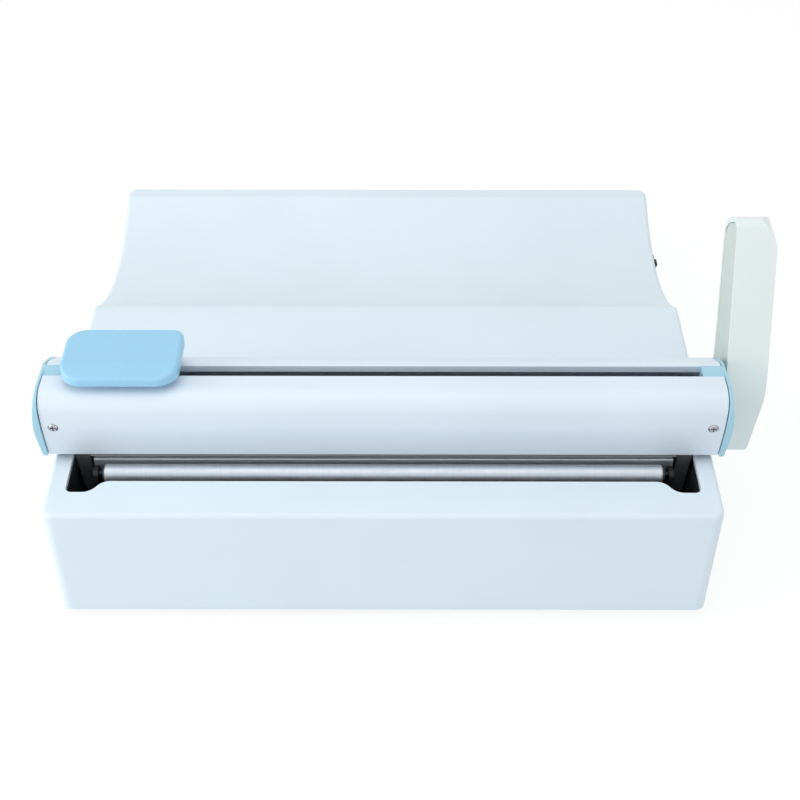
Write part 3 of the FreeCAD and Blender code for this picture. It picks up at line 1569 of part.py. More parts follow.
def make_cutter_blade():
    """A blade with two slanting edges, so that it cuts both ways."""
    piece = Piece("cutter_blade")
    face = S["keel_front"] + S["keel_thickness"]
    back = face + S["blade_thickness"]
    half = S["blade_length"] / 2
    shoulder = blade_tip + half
    piece.pad("y", face, back, Outline(
        (-S["cutter_start"] - half, blade_top),
        (-S["cutter_start"] - half, shoulder),
        (-S["cutter_start"], blade_tip),
        (-S["cutter_start"] + half, shoulder),
        (-S["cutter_start"] + half, blade_top),
    ))
    piece.pocket("y", face - THROUGH, back + THROUGH, *blade_holes())
    return piece


def make_blade_screws():
    """Two small screws that hold the blade on the keel."""
    piece = Piece("blade_screws")
    face = S["keel_front"] + S["keel_thickness"] + S["blade_thickness"]
    top = face + S["blade_screw_head_height"]
    for place in blade_screw_places():
        piece.pad("y", face, top, Round(place, blade_screw_height, S["blade_screw_head_radius"]))
        shank = Round(place, blade_screw_height, S["blade_screw_radius"])
        piece.pad("y", S["keel_front"] + S["slip_fit"], face + S["slip_fit"], shank)
    return piece


def make_control_board():
    """The board that holds the temperature of the heater."""
    piece = Piece("control_board")
    right = S["board_left"] + S["board_width"]
    rear = S["board_front"] + S["board_length"]
    piece.pad("z", board_low, board_top,
              box_outline(S["board_left"], right, S["board_front"], rear, S["board_corner_radius"]))
    return piece


def make_board_standoffs():
    """Four pillars under the control board."""
    piece = Piece("board_standoffs")
    pillars = [Round(x, y, S["standoff_radius"]) for x, y in standoff_places()]
    piece.pad("z", S["plate_thickness"], board_low, *pillars)
    return piece


def make_board_components():
    """Transformer, relay, two capacitors, terminal block and heat sink on the control board."""
    piece = Piece("board_components")
    left = S["board_left"] + S["board_margin"]
    front = S["board_front"] + S["board_margin"]
    relay_left = left + S["transformer_width"] + S["component_gap"]
    relay_right = relay_left + S["relay_width"]
    terminal_left = relay_right + S["component_gap"]
    second_row = front + S["transformer_length"] + S["component_gap"]
    blocks = [
        (left, S["transformer_width"], front, S["transformer_length"], S["transformer_height"]),
        (relay_left, S["relay_width"], front, S["relay_length"], S["relay_height"]),
        (terminal_left, S["terminal_width"], front, S["terminal_length"], S["terminal_height"]),
        (terminal_left, S["cooler_width"], second_row - S["component_gap"], S["cooler_length"],
         S["cooler_height"]),
    ]
    for start, width, near_side, depth, height in blocks:
        block = box_outline(start, start + width, near_side, near_side + depth)
        piece.pad("z", board_top, board_top + height, block)
    radius = S["capacitor_radius"]
    cans = [Round(x, second_row, radius) for x in (relay_left + radius, relay_right)]
    piece.pad("z", board_top, board_top + S["capacitor_height"], *cans)
    return piece


def make_power_inlet():
    """The appliance inlet on the rear wall: a flange outside, a body inside, and the socket."""
    piece = Piece("power_inlet")
    rear = S["base_depth"]
    flange = inlet_outline(S["inlet_flange_width"], S["inlet_flange_tall"], 0)
    piece.pad("y", rear, inlet_mouth, flange)
    piece.pad("y", rear - S["inlet_body_depth"], rear, inlet_outline(S["inlet_width"], S["inlet_tall"], 0))
    socket = inlet_outline(S["socket_width"], S["socket_tall"], 0)
    piece.pocket("y", socket_floor, inlet_mouth + THROUGH, socket)
    screws = [Round(x, S["inlet_height"], S["screw_radius"] + S["screw_clearance"])
              for x in inlet_screw_places()]
    piece.pocket("y", rear - THROUGH, inlet_mouth + THROUGH, *screws)
    return piece


def inlet_screw_places():
    """The two fastening points on the inlet's flange."""
    reach = (S["inlet_flange_width"] + S["inlet_width"]) / 4 + S["inlet_screw_shift"]
    return [S["inlet_offset"] - reach, S["inlet_offset"] + reach]


def make_inlet_pins():
    """Three flat contact pins in the socket: two above, and the middle one below."""
    piece = Piece("inlet_pins")
    half = S["contact_width"] / 2
    tall = S["contact_height"] / 2
    for side in (-1, 0, 1):
        x = S["inlet_offset"] + side * S["contact_spread"]
        z = S["inlet_height"] + (2 * abs(side) - 1) * S["contact_stagger"]
        contact = box_outline(x - half, x + half, z - tall, z + tall)
        piece.pad("y", socket_floor, inlet_mouth - S["contact_sink"], contact)
    return piece


def make_inlet_screws():
    """Two screws that hold the inlet on the rear wall."""
    piece = Piece("inlet_screws")
    for place in inlet_screw_places():
        head = Round(place, S["inlet_height"], S["screw_head_radius"])
        shank = Round(place, S["inlet_height"], S["screw_radius"])
        piece.pad("y", inlet_mouth, inlet_mouth + S["screw_head_height"], head)
        piece.pad("y", S["base_depth"] + S["groove_fit"], inlet_mouth + THROUGH, shank)
    return piece


def make_switch_housing():
    """The power switch's frame: a bezel on the right wall and a box behind it."""
    piece = Piece("switch_housing")
    bezel = half_width + S["switch_bezel"]
    piece.pad("x", half_width, bezel, switch_outline(0))
    piece.pad("x", half_width - S["switch_body_depth"], half_width, switch_outline(-S["switch_body_inset"]))
    piece.pocket("x", half_width - S["switch_cavity"], bezel + THROUGH, switch_outline(-S["switch_rim"]))
    return piece


def rocker_corner(outward, upward, radius):
    """A corner of the rocker, given in its level position, turned to its tilt about the pivot."""
    tilt = S["rocker_tilt"]
    return (
        rocker_pivot + outward * cosine(tilt) + upward * sine(tilt),
        S["switch_height"] + upward * cosine(tilt) - outward * sine(tilt),
        radius,
    )


def make_switch_rocker():
    """The rocker of the power switch: two faces that meet in a shallow valley, tilted to off."""
    piece = Piece("switch_rocker")
    across = S["rocker_width"] / 2
    tall = S["rocker_length"] / 2
    edge = S["rocker_edge_radius"]
    crown = S["rocker_crown"]
    root_half = tall * S["rocker_root_share"]
    piece.pad("y", S["switch_depth"] - across, S["switch_depth"] + across, Outline(
        rocker_corner(-S["rocker_root"], -root_half, edge),
        rocker_corner(crown, -tall, edge),
        rocker_corner(crown - S["rocker_valley"], 0 * tall, S["rocker_valley_radius"]),
        rocker_corner(crown, tall, edge),
        rocker_corner(-S["rocker_root"], root_half, edge),
    ))
    return piece


def make_all():
    """Every sub-part of the machine."""
    pieces = [make_base_housing(), make_bottom_plate(), make_rubber_feet(), make_bottom_screws()]
    pieces += [make_frame_screws(), make_well_tray(), make_roller_axle(), make_guide_roller()]
    pieces += [make_roller_plugs(), make_lower_jaw(), make_cutting_strip(), make_thermostat()]
    pieces += make_heater()
    for word, side in (("left", -1), ("right", 1)):
        pieces.append(make_side_frame("side_frame_" + word, side))
        pieces.append(make_roller_bracket("roller_bracket_" + word, side))
        pieces.append(make_shaft_bush("shaft_bush_" + word, side))
        pieces.append(make_pivot_pin("pivot_pin_" + word, side))
        pieces.append(make_return_spring("return_spring_" + word, side))
        pieces.append(make_press_arm("press_arm_" + word, side))
        pieces.append(make_end_cap("end_cap_" + word, side))
        pieces.append(make_eccentric("eccentric_" + word, side))
    pieces += [make_arm_screws(), make_pressure_strip(), make_front_cover(), make_rear_cover()]
    pieces.append(make_beam("front_beam", S["beam_front"], S["beam_split_front"], 0))
    pieces.append(make_beam("rear_beam", S["beam_split_rear"], S["beam_rear"], 1))
    pieces += [make_cover_screws(), make_cross_shaft(), make_shaft_collar(), make_lever_handle()]
    pieces += [make_lever_inner_cover(), make_lever_hub(), make_lever_screw(), make_cutter_handle()]
    pieces += [make_cutter_carriage(), make_cutter_blade(), make_blade_screws(), make_control_board()]
    pieces += [make_board_standoffs(), make_board_components(), make_power_inlet(), make_inlet_pins()]
    pieces += [make_inlet_screws(), make_switch_housing(), make_switch_rocker()]
    return pieces


def check(pieces):
    """Stop if a feature failed or a sub-part has no sound solid."""
    for thing in document.Objects:
        if "Invalid" in thing.State or "Error" in thing.State:
            raise RuntimeError("feature failed: " + thing.Label + " " + str(thing.State))
    for piece in pieces:
        shape = piece.body.Shape
        if shape.isNull() or not shape.isValid() or not shape.Solids:
            raise RuntimeError("no sound solid in " + piece.body.Label)


def write(pieces):
    """Write each sub-part to its own file."""
    os.makedirs("parts", exist_ok=True)
    for piece in pieces:
        piece.body.Shape.exportStep("parts/" + piece.body.Label + ".step")


all_pieces = make_all()
document.recompute()
check(all_pieces)
write(all_pieces)
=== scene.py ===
import math

import bmesh
import bpy
from bpy.props import FloatProperty, FloatVectorProperty, IntProperty, PointerProperty
from mathutils import Matrix, Vector


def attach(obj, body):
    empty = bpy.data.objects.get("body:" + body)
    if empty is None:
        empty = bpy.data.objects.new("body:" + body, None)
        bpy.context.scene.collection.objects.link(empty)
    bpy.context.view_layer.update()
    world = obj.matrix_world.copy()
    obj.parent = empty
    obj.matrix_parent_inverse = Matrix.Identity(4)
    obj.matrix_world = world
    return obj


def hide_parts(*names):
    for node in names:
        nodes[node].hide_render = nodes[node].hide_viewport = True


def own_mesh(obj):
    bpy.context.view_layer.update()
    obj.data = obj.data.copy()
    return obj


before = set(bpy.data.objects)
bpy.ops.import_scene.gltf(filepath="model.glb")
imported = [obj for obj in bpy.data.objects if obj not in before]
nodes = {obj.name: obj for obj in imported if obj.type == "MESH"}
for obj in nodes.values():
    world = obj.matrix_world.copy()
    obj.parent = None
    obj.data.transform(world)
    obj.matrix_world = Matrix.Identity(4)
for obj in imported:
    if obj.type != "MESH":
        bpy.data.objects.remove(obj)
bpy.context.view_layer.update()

bl_info = {
    "name": "Bag sealer finishes",
    "version": (1, 0, 0),
    "blender": (4, 5, 0),
    "location": "View3D > Sidebar > Bag sealer",
    "description": "Dresses the sealer's parts with their finishes and screws, and sets the studio",
    "category": "Object",
}

MM = 0.001

# The parts of a noise's range, from 0 to 1, that a finish reads: most of its values, or only the
# upper ones, which lie in separate spots.
WIDE = (0.3, 0.7)
EVEN = (0.35, 0.65)
SCUFFED = (0.35, 0.75)
PATCHES = (0.45, 0.7)
UPPER = (0.45, 0.75)
SPOTS = (0.5, 0.8)
RARE = (0.55, 0.8)

# The way that turned marks run: 1 on their long axis, on which LONG_STRETCH draws them out, and a
# share of the mark's size on the other two. Before the stretch, the noise is as wide as many marks.
ALONG_X = (1.0, 0.02, 0.02)
ALONG_Y = (0.02, 1.0, 0.02)
ALONG_Z = (0.02, 0.02, 1.0)
WIRE_Z = (0.05, 0.05, 1.0)
LONG_STRETCH = 0.02
TURNED_MARKS = 50
GROUND_MARKS = 40

# Screws: points nearer than MERGE are one point, those beyond RIM_SHARE of the radius of a head lie
# on its rim, and those more than SEAT_SLACK below its seat lie on its shank.
MERGE = 1e-6
SEAT_SLACK = 1e-5
RIM_SHARE = 0.97
FILL_RINGS = 8
SHANK_SIDES = 24
SHARP_EDGE = math.radians(32)

# The studio, in metres: the soft boxes with their place, their size and what they point at.
FILM_WIDTH = 36
VIEW_END = 20
FLOOR_HALF = 6.0
SOFT_BOXES = {
    "top_light": ((-0.1, -0.25, 1.15), 0.9, (0, -0.1, 0.05)),
    "left_light": ((-1.25, -0.45, 0.5), 0.9, (-0.1, -0.15, 0.1)),
    "front_light": ((0, -1.7, 0.25), 1.4, (0, -0.1, 0.1)),
}


def from_screen(red, green, blue):
    """A colour as a screen shows it (0 to 255) as linear values, by the usual curve of screens."""
    linear = []
    for part in (red, green, blue):
        shown = part / 255
        linear.append(shown / 12.92 if shown < 0.04045 else ((shown + 0.055) / 1.055) ** 2.4)
    return tuple(linear)


def colour(name, words, red, green, blue):
    return FloatVectorProperty(name=name, description=words, subtype="COLOR", size=3, min=0, max=1,
                               default=from_screen(red, green, blue))


def length(name, words, millimetres):
    return FloatProperty(name=name, description=words, default=millimetres * MM, min=0, unit="LENGTH",
                         subtype="DISTANCE")


def share(name, words, value):
    return FloatProperty(name=name, description=words, default=value, min=0, max=1, subtype="FACTOR")


class SealerColours(bpy.types.PropertyGroup):
    """The colours of the mouldings and coatings."""

    housing: colour("Housing", "Gloss coat of the base housing", 226, 240, 249)
    bar: colour("Press bar", "Gloss coat of the two covers of the press bar", 227, 240, 250)
    lever: colour("Lever", "Plastic of the lever", 234, 244, 242)
    # The inner cover's tint is the lever plastic made darker: painted shade for the shaded inner side of the
    # lever.
    lever_inner_shade: colour("Lever inner cover", "Duller plastic of the lever's inner cover", 206, 216, 208)
    slider: colour("Slider", "Plastic of the cutter's slider", 156, 211, 240)
    cap: colour("End caps", "Plastic of the press bar's end caps", 171, 215, 233)
    # The near-black of the well tray and roller brackets is partly their black coat and partly painted shade
    # for the deep well.
    tray: colour("Well tray", "Black coat inside the well", 13, 14, 16)
    black: colour("Black plastic", "Switch, inlet and brackets", 20, 21, 23)
    guide: colour("Guide plastic", "Dark plastic of the cutter's carriage and strip", 52, 55, 60)
    rubber: colour("Feet", "Rubber of the feet", 34, 35, 37)
    silicone: colour("Pressure strip", "Silicone of the pressure strip", 206, 210, 212)
    cloth: colour("Non-stick sheet", "Coated glass cloth over the heating bar", 202, 208, 213)
    insulation: colour("Insulation", "Mica board under the heating bar", 214, 206, 184)
    thermostat: colour("Thermostat", "Moulded body of the thermostat", 62, 66, 72)
    components: colour("Components", "Cases of the parts on the control board", 58, 62, 70)
    board: colour("Circuit board", "Solder mask of the control board", 28, 92, 58)


class SealerMetals(bpy.types.PropertyGroup):
    """The colours of the bare metals."""

    roller: colour("Roller", "Satin steel tube of the guide roller", 204, 211, 218)
    blade: colour("Blade", "Ground steel of the cutter's blade", 214, 219, 224)
    steel: colour("Shafts", "Turned steel of shafts, pins and hub", 188, 191, 196)
    zinc: colour("Zinc plate", "Plated sheet steel of the frames and the bottom", 176, 182, 188)
    arm: colour("Press arms", "Satin steel of the press arms", 168, 174, 180)
    aluminium: colour("Aluminium", "Extruded beams of the press bar", 205, 209, 214)
    jaw: colour("Jaw aluminium", "Extruded lower jaw and its heating bar", 186, 191, 198)
    brass: colour("Brass", "Pins of the inlet and standoffs of the board", 214, 186, 122)
    bronze: colour("Bronze", "Sintered bushes of the cross shaft", 176, 132, 84)
    spring: colour("Spring wire", "Hard drawn wire of the return springs", 120, 124, 130)


class SealerFinish(bpy.types.PropertyGroup):
    """The sizes of the marks on the surfaces, and how far the springs give."""

    tone_shift: length("Tone shift", "Distance over which the coat's tone shifts", 90)
    mottle: length("Mottling", "Width of the fine mottling of the coat", 3.5)
    speck: length("Specks", "Distance between the specks in the coat", 2.1)
    rub: length("Rubbed areas", "Width of the areas that hands and film have rubbed", 35)
    peel: length("Coat ripple", "Width of the ripples in the powder coat", 1.6)
    peel_depth: length("Ripple depth", "Height of the ripples in the powder coat", 0.012)
    flow: length("Mould flow", "Width of the clouds from the flow in the mould", 60)
    dust: length("Dust", "Width of the dust spots on moulded plastic", 1.6)
    scuff: length("Scuffs", "Width of the scuffs on plastic and of the bloom on rubber", 6)
    grain: length("Moulded grain", "Width of the grain of moulded plastic", 0.45)
    grain_depth: length("Grain depth", "Height of the grain of moulded plastic", 0.02)
    brush: length("Brush mark", "Width of one brush mark on metal", 0.18)
    ground_depth: length("Ground depth", "Height of the marks on ground and plated metal", 0.006)
    turned_depth: length("Turned depth", "Height of the marks on turned metal", 0.004)
    cloud: length("Metal clouds", "Width of the dull clouds on satin metal", 12)
    shine_shift: length("Shine shift", "Distance over which the shine of turned metal shifts", 30)
    stain: length("Stains", "Width of the dull spots on turned metal", 9)
    crystal: length("Zinc crystals", "Width of the crystals of the zinc plate", 1 / 0.14)
    film: length("Dull film", "Width of the film on zinc plate and on the non-stick sheet", 20)
    plate_grain: length("Plate grain", "Width of the fine grain of the zinc plate", 0.9)
    rubber_grain: length("Rubber grain", "Width of the grain of rubber and silicone", 0.7)
    cast_grain: length("Cast grain", "Width of the grain of pressed and cast bodies", 0.9)
    cast_depth: length("Cast depth", "Height of the grain of rubber, pressed and cast bodies", 0.03)
    cast_shine: length("Cast shine", "Width of the shiny areas of pressed and cast bodies", 3)
    weave: length("Cloth thread", "Distance between the threads of the non-stick sheet", 0.9)
    weave_depth: length("Thread height", "Height of the threads of the non-stick sheet", 0.06)
    board_runs: length("Copper runs", "Distance between the copper runs of the board", 1 / 0.06)
    board_mottle: length("Board mottling", "Width of the mottling of the board", 4)
    board_shine: length("Board shine", "Width of the shiny areas of the board", 10)
    spring_drop: length("Spring drop", "How far the press arms push the return springs together", 1.7)
    wear: share("Handling marks", "How much the roughness changes where hands and film rub", 0.35)


class SealerScrews(bpy.types.PropertyGroup):
    """The cross-headed screws."""

    recess_share: share("Recess", "Width of the cross recess as a share of the head", 0.62)
    slot_share: share("Slot", "Width of one slot of the cross as a share of the head", 0.15)
    depth_share: share("Recess depth", "Depth of the recess as a share of the head's width", 0.2)
    dome_share: share("Dome", "Height of the head's dome as a share of its width", 0.12)
    sides: IntProperty(name="Sides", description="Number of sides of a screw head", default=48, min=12,
                       max=96)


class SealerStage(bpy.types.PropertyGroup):
    """The camera, the lights and the floor."""

    lens: FloatProperty(name="Lens", description="Focal length for a 36 mm film", default=63.233, min=10,
                        unit="CAMERA")
    camera_place: FloatVectorProperty(name="Camera", description="Place of the camera", size=3,
                                      subtype="TRANSLATION", unit="LENGTH",
                                      default=(0.01014, -0.77662, 0.72324))
    camera_turn: FloatVectorProperty(name="Camera turn", description="Turn of the camera", size=3,
                                     subtype="EULER",
                                     default=(math.radians(47.809), math.radians(0), math.radians(-0.02)))
    camera_roll: FloatProperty(name="Roll", description="Tilt of the camera about its line of sight",
                               subtype="ANGLE", default=math.radians(0.099))
    floor: colour("Floor", "Pale sweep under the sealer, as the camera sees it", 250, 251, 251)
    bounce: colour("Floor bounce", "The tone that the floor throws back on the sealer", 240, 243, 246)
    air: FloatProperty(name="Air light", description="Strength of the light from all round", default=0.70,
                       min=0)
    top_light: FloatProperty(name="Top light", description="Power of the soft box above", default=2.6, min=0)
    left_light: FloatProperty(name="Left light", description="Power of the soft box at the left front",
                              default=6.5, min=0)
    front_light: FloatProperty(name="Front light", description="Power of the low soft box in front",
                               default=0.8, min=0)
    white: FloatProperty(name="Floor white", description="Value of the plain white that the camera sees",
                         default=1.05, min=0)
    floor_white: share("Clean floor", "How far the camera sees the floor as plain white", 0.8)


class Finish:
    """A procedural material under construction, on the object's own coordinates in metres."""

    def __init__(self, name):
        self.material = bpy.data.materials.new(name)
        self.material.use_nodes = True
        self.tree = self.material.node_tree
        self.tree.nodes.clear()
        self.shader = self.tree.nodes.new("ShaderNodeBsdfPrincipled")
        out = self.tree.nodes.new("ShaderNodeOutputMaterial")
        self.tree.links.new(self.shader.outputs[0], out.inputs[0])
        self.place = self.tree.nodes.new("ShaderNodeTexCoord").outputs["Object"]

    def node(self, kind, inputs=None, **settings):
        made = self.tree.nodes.new(kind)
        for key, value in settings.items():
            setattr(made, key, value)
        for key, value in (inputs or {}).items():
            self.put(made.inputs[key], value)
        return made

    def put(self, socket, value):
        if isinstance(value, bpy.types.NodeSocket):
            self.tree.links.new(value, socket)
        else:
            socket.default_value = value

    def stretched(self, scale):
        """The coordinates with each axis scaled by itself, for marks that run one way."""
        return self.node("ShaderNodeMapping", {"Vector": self.place, "Scale": scale}).outputs[0]

    def noise(self, size, detail=3.0, roughness=0.55, vector=None):
        """Soft random spots about size metres wide, from 0 to 1."""
        made = self.node("ShaderNodeTexNoise", {"Vector": vector or self.place, "Scale": 1 / size,
                                                "Detail": detail, "Roughness": roughness})
        return made.outputs[0]

    def cells(self, size):
        """The distance to the middle of the nearest of random cells about size metres wide."""
        return self.node("ShaderNodeTexVoronoi", {"Vector": self.place, "Scale": 1 / size}).outputs["Distance"]

    def fit(self, value, low, high, source=(0.0, 1.0)):
        """The value moved from its source range to the range low to high."""
        made = self.node("ShaderNodeMapRange", {"Value": value, "From Min": source[0], "From Max": source[1],
                                                "To Min": low, "To Max": high})
        return made.outputs[0]

    def math(self, operation, first, second):
        return self.node("ShaderNodeMath", {0: first, 1: second}, operation=operation).outputs[0]

    def blend(self, factor, first, second):
        """The first colour where the factor is 0, the second where it is 1."""
        made = self.node("ShaderNodeMix", {"Factor": factor}, data_type="RGBA")
        self.put(made.inputs["A"], first)
        self.put(made.inputs["B"], second)
        return made.outputs["Result"]

    def relief(self, height, depth, under=None):
        """A bump that makes the height field stand depth metres proud."""
        inputs = {"Height": height, "Strength": 1.0, "Distance": depth}
        if under is not None:
            inputs["Normal"] = under
        return self.node("ShaderNodeBump", inputs).outputs[0]

    def set(self, **values):
        names = {"colour": "Base Color", "rough": "Roughness", "metal": "Metallic", "normal": "Normal",
                 "coat": "Coat Weight", "coat_rough": "Coat Roughness", "specular": "Specular IOR Level",
                 "sheen": "Sheen Weight", "brushed": "Anisotropic", "inner": "Subsurface Weight",
                 "inner_depth": "Subsurface Scale"}
        for key, value in values.items():
            self.put(self.shader.inputs[names[key]], value)
        return self.material


def opaque(tint, strength=1.0):
    """A colour with its alpha, made lighter or darker."""
    return (*[min(1.0, part * strength) for part in tint], 1.0)


def coated(name, tint, finish, rough):
    """Gloss coat: slow shifts of tone, a fine ripple, and a shine that hands and film have changed."""
    f = Finish(name)
    slow = f.noise(finish.tone_shift, detail=2.0)
    fine = f.noise(finish.mottle, detail=4.0)
    specks = f.fit(f.cells(finish.speck), 1.0, 0.0, (0.0, 0.13))
    tone = f.blend(f.fit(slow, 0.0, 1.0, EVEN), opaque(tint, 0.985), opaque(tint, 1.012))
    tone = f.blend(f.fit(fine, 0.0, 0.06, UPPER), tone, opaque(tint, 0.94))
    tone = f.blend(f.fit(specks, 0.0, 0.05), tone, opaque(tint, 0.86))
    rubbed = f.noise(finish.rub, detail=5.0, roughness=0.7)
    ripple = f.noise(finish.peel, detail=2.0, roughness=0.4)
    pits = f.noise(finish.peel / 4, detail=2.0)
    swing = finish.wear * 0.2
    return f.set(colour=tone, rough=f.fit(rubbed, rough - swing, rough + swing, WIDE), specular=0.42,
                 normal=f.relief(pits, finish.peel_depth / 5, f.relief(ripple, finish.peel_depth)))


def moulded(name, tint, finish, rough, inner=0.0, coat=0.0):
    """Moulded plastic: an even grain, faint clouds from the mould and small scuffs."""
    f = Finish(name)
    flow = f.noise(finish.flow, detail=2.0, roughness=0.5)
    tone = f.blend(f.fit(flow, 0.0, 1.0, EVEN), opaque(tint, 0.985), opaque(tint, 1.015))
    dust = f.noise(finish.dust, detail=5.0, roughness=0.7)
    tone = f.blend(f.fit(dust, 0.0, 0.08, SPOTS), tone, opaque(tint, 0.9))
    scuffs = f.noise(finish.scuff, detail=6.0, roughness=0.75)
    grain = f.cells(finish.grain)
    f.set(inner=inner, inner_depth=3 * MM, coat=coat, coat_rough=0.12)
    return f.set(colour=tone, rough=f.fit(scuffs, rough - 0.03, rough + 0.06, SCUFFED), specular=0.45,
                 normal=f.relief(grain, finish.grain_depth))


def satin(name, tint, finish, rough, metal, across, contrast=1.0):
    """Ground metal with a satin film: long fine marks across the given way, and dull clouds."""
    f = Finish(name)
    marks = f.noise(finish.brush * GROUND_MARKS, 4.0, 0.7, f.stretched(across))
    clouds = f.noise(finish.cloud, detail=4.0, roughness=0.6)
    tone = f.blend(f.fit(marks, 0.0, 1.0, WIDE), opaque(tint, 1 - 0.18 * contrast),
                   opaque(tint, 1 + 0.1 * contrast))
    tone = f.blend(f.fit(clouds, 0.0, 0.4 * contrast, SPOTS), tone, opaque(tint, 0.7))
    shine = f.math("ADD", f.fit(clouds, rough - 0.06, rough + 0.08, WIDE), f.fit(marks, -0.05, 0.05, WIDE))
    return f.set(colour=tone, metal=metal, rough=shine,
                 normal=f.relief(marks, finish.ground_depth * contrast))


def turned(name, tint, finish, rough, along=ALONG_X, brushed=0.5):
    """Metal that was brushed or turned: fine marks, a slow change of shine and a few dull spots."""
    f = Finish(name)
    across = f.stretched([1 / part if part < 1 else LONG_STRETCH for part in along])
    marks = f.noise(finish.brush * TURNED_MARKS, 4.0, 0.7, across)
    slow = f.noise(finish.shine_shift)
    stain = f.noise(finish.stain, detail=5.0, roughness=0.7)
    tone = f.blend(f.fit(marks, 0.0, 1.0, WIDE), opaque(tint, 0.86), opaque(tint, 1.08))
    tone = f.blend(f.fit(stain, 0.0, 0.35, RARE), tone, opaque(tint, 0.72))
    shine = f.math("ADD", f.fit(slow, rough - 0.04, rough + 0.05, WIDE), f.fit(marks, -0.05, 0.07, WIDE))
    return f.set(colour=tone, metal=1.0, rough=shine, brushed=brushed,
                 normal=f.relief(marks, finish.turned_depth))


def plated(name, tint, finish, rough):
    """Zinc plate: crystals of slightly different tone under a thin dull film."""
    f = Finish(name)
    crystals = f.node("ShaderNodeTexVoronoi", {"Vector": f.place, "Scale": 1 / finish.crystal})
    level = f.node("ShaderNodeSeparateColor", {0: crystals.outputs["Color"]}).outputs[0]
    film = f.noise(finish.film, detail=5.0, roughness=0.65)
    tone = f.blend(f.fit(level, 0.0, 1.0), opaque(tint, 0.88), opaque(tint, 1.06))
    tone = f.blend(f.fit(film, 0.0, 0.4, UPPER), tone, opaque(tint, 0.74))
    shine = f.math("ADD", f.fit(film, rough - 0.08, rough + 0.1, WIDE), f.fit(level, -0.04, 0.04))
    fine = f.noise(finish.plate_grain, detail=4.0)
    return f.set(colour=tone, metal=1.0, rough=shine, normal=f.relief(fine, finish.ground_depth))


def rubber(name, tint, finish, bloom_strength):
    """Rubber or silicone with a pale bloom in cloudy spots."""
    f = Finish(name)
    bloom = f.noise(finish.scuff, detail=5.0, roughness=0.7)
    tone = f.blend(f.fit(bloom, 0.0, 0.6, SPOTS), opaque(tint, 0.9), opaque(tint, bloom_strength))
    return f.set(colour=tone, rough=f.fit(bloom, 0.7, 0.92, WIDE), specular=0.3, sheen=0.08,
                 normal=f.relief(f.noise(finish.rubber_grain), finish.cast_depth))


def woven(name, tint, finish):
    """Coated glass cloth: two sets of threads under a pale film."""
    f = Finish(name)
    ribs = [f.node("ShaderNodeTexWave", {"Vector": f.place, "Scale": 1 / (finish.weave * 2),
                                         "Distortion": 0.4, "Detail": 1.0},
                   wave_type="BANDS", bands_direction=axis).outputs["Fac"] for axis in ("X", "Y")]
    both = f.math("MAXIMUM", *ribs)
    patch = f.noise(finish.film, detail=4.0)
    tone = f.blend(f.fit(both, 0.0, 1.0), opaque(tint, 0.82), opaque(tint, 1.04))
    tone = f.blend(f.fit(patch, 0.0, 0.3, PATCHES), tone, opaque(tint, 0.85))
    return f.set(colour=tone, rough=f.fit(patch, 0.35, 0.55), coat=0.2, coat_rough=0.3,
                 normal=f.relief(both, finish.weave_depth))


def circuit(name, tint, finish):
    """Solder mask with copper runs that show through it."""
    f = Finish(name)
    runs = f.node("ShaderNodeTexBrick", {"Vector": f.place, "Scale": 1 / finish.board_runs,
                                         "Color1": opaque(tint, 1.0), "Color2": opaque(tint, 1.5),
                                         "Mortar": opaque(tint, 0.6), "Mortar Size": 0.03}).outputs["Color"]
    tone = f.blend(f.fit(f.noise(finish.board_mottle), 0.0, 0.3), runs, opaque(tint, 0.7))
    return f.set(colour=tone, rough=f.fit(f.noise(finish.board_shine), 0.22, 0.4), coat=0.3, coat_rough=0.15)


def speckled(name, tint, finish, rough, metal=0.0):
    """A pressed or cast body with a coarse grain."""
    f = Finish(name)
    grain = f.cells(finish.cast_grain)
    tone = f.blend(f.fit(grain, 0.0, 1.0, (0.0, 0.6)), opaque(tint, 0.75), opaque(tint, 1.1))
    return f.set(colour=tone, metal=metal, normal=f.relief(grain, finish.cast_depth),
                 rough=f.fit(f.noise(finish.cast_shine, detail=4.0), rough - 0.08, rough + 0.1))


def dress(material, *names):
    """Gives the material to the CAD nodes of these names."""
    for name in names:
        for slot in nodes[name].material_slots:
            slot.material = material


# The nodes of loose fasteners: the body that each rides on, and the way its heads face. Where no
# way is given, the heads face away from the middle of the machine.
FASTENERS = {
    "bottom_screws": ("base", (0, 0, -1)),
    "frame_screws": ("base", (0, 0, 1)),
    "arm_screws": ("press_bar", None),
    "inlet_screws": ("base", (0, 1, 0)),
    "blade_screws": ("cutter", (0, 1, 0)),
}


def loose_solids(node):
    """The separate solids of a CAD node, each as a list of its points."""
    mesh = bmesh.new()
    mesh.from_mesh(node.data)
    bmesh.ops.remove_doubles(mesh, verts=mesh.verts, dist=MERGE)
    left = set(mesh.verts)
    solids = []
    for first in mesh.verts:
        if first not in left:
            continue
        left.discard(first)
        reached = [first]
        points = []
        while reached:
            vert = reached.pop()
            points.append(vert.co.copy())
            for edge in vert.link_edges:
                other = edge.other_vert(vert)
                if other in left:
                    left.discard(other)
                    reached.append(other)
        solids.append(points)
    mesh.free()
    return solids


def measured(points, facing):
    """Where one fastener's head sits, and the sizes of its head and shank."""
    axis = [index for index in range(3) if abs(facing[index]) > 0.5][0]
    middle = Vector([(min(p[i] for p in points) + max(p[i] for p in points)) / 2 for i in range(3)])
    middle[axis] = 0
    rows = []
    for point in points:
        away = point - middle
        along = away.dot(facing)
        rows.append(((away - facing * along).length, along))
    head_radius = max(radius for radius, along in rows)
    head = [along for radius, along in rows if radius > head_radius * RIM_SHARE]
    seat = min(head)
    shank = [radius for radius, along in rows if along < seat - SEAT_SLACK]
    return {
        "place": middle + facing * seat,
        "Head radius": head_radius,
        "Head height": max(head) - seat,
        "Shank radius": max(shank),
        "Shank length": seat - min(along for radius, along in rows),
    }


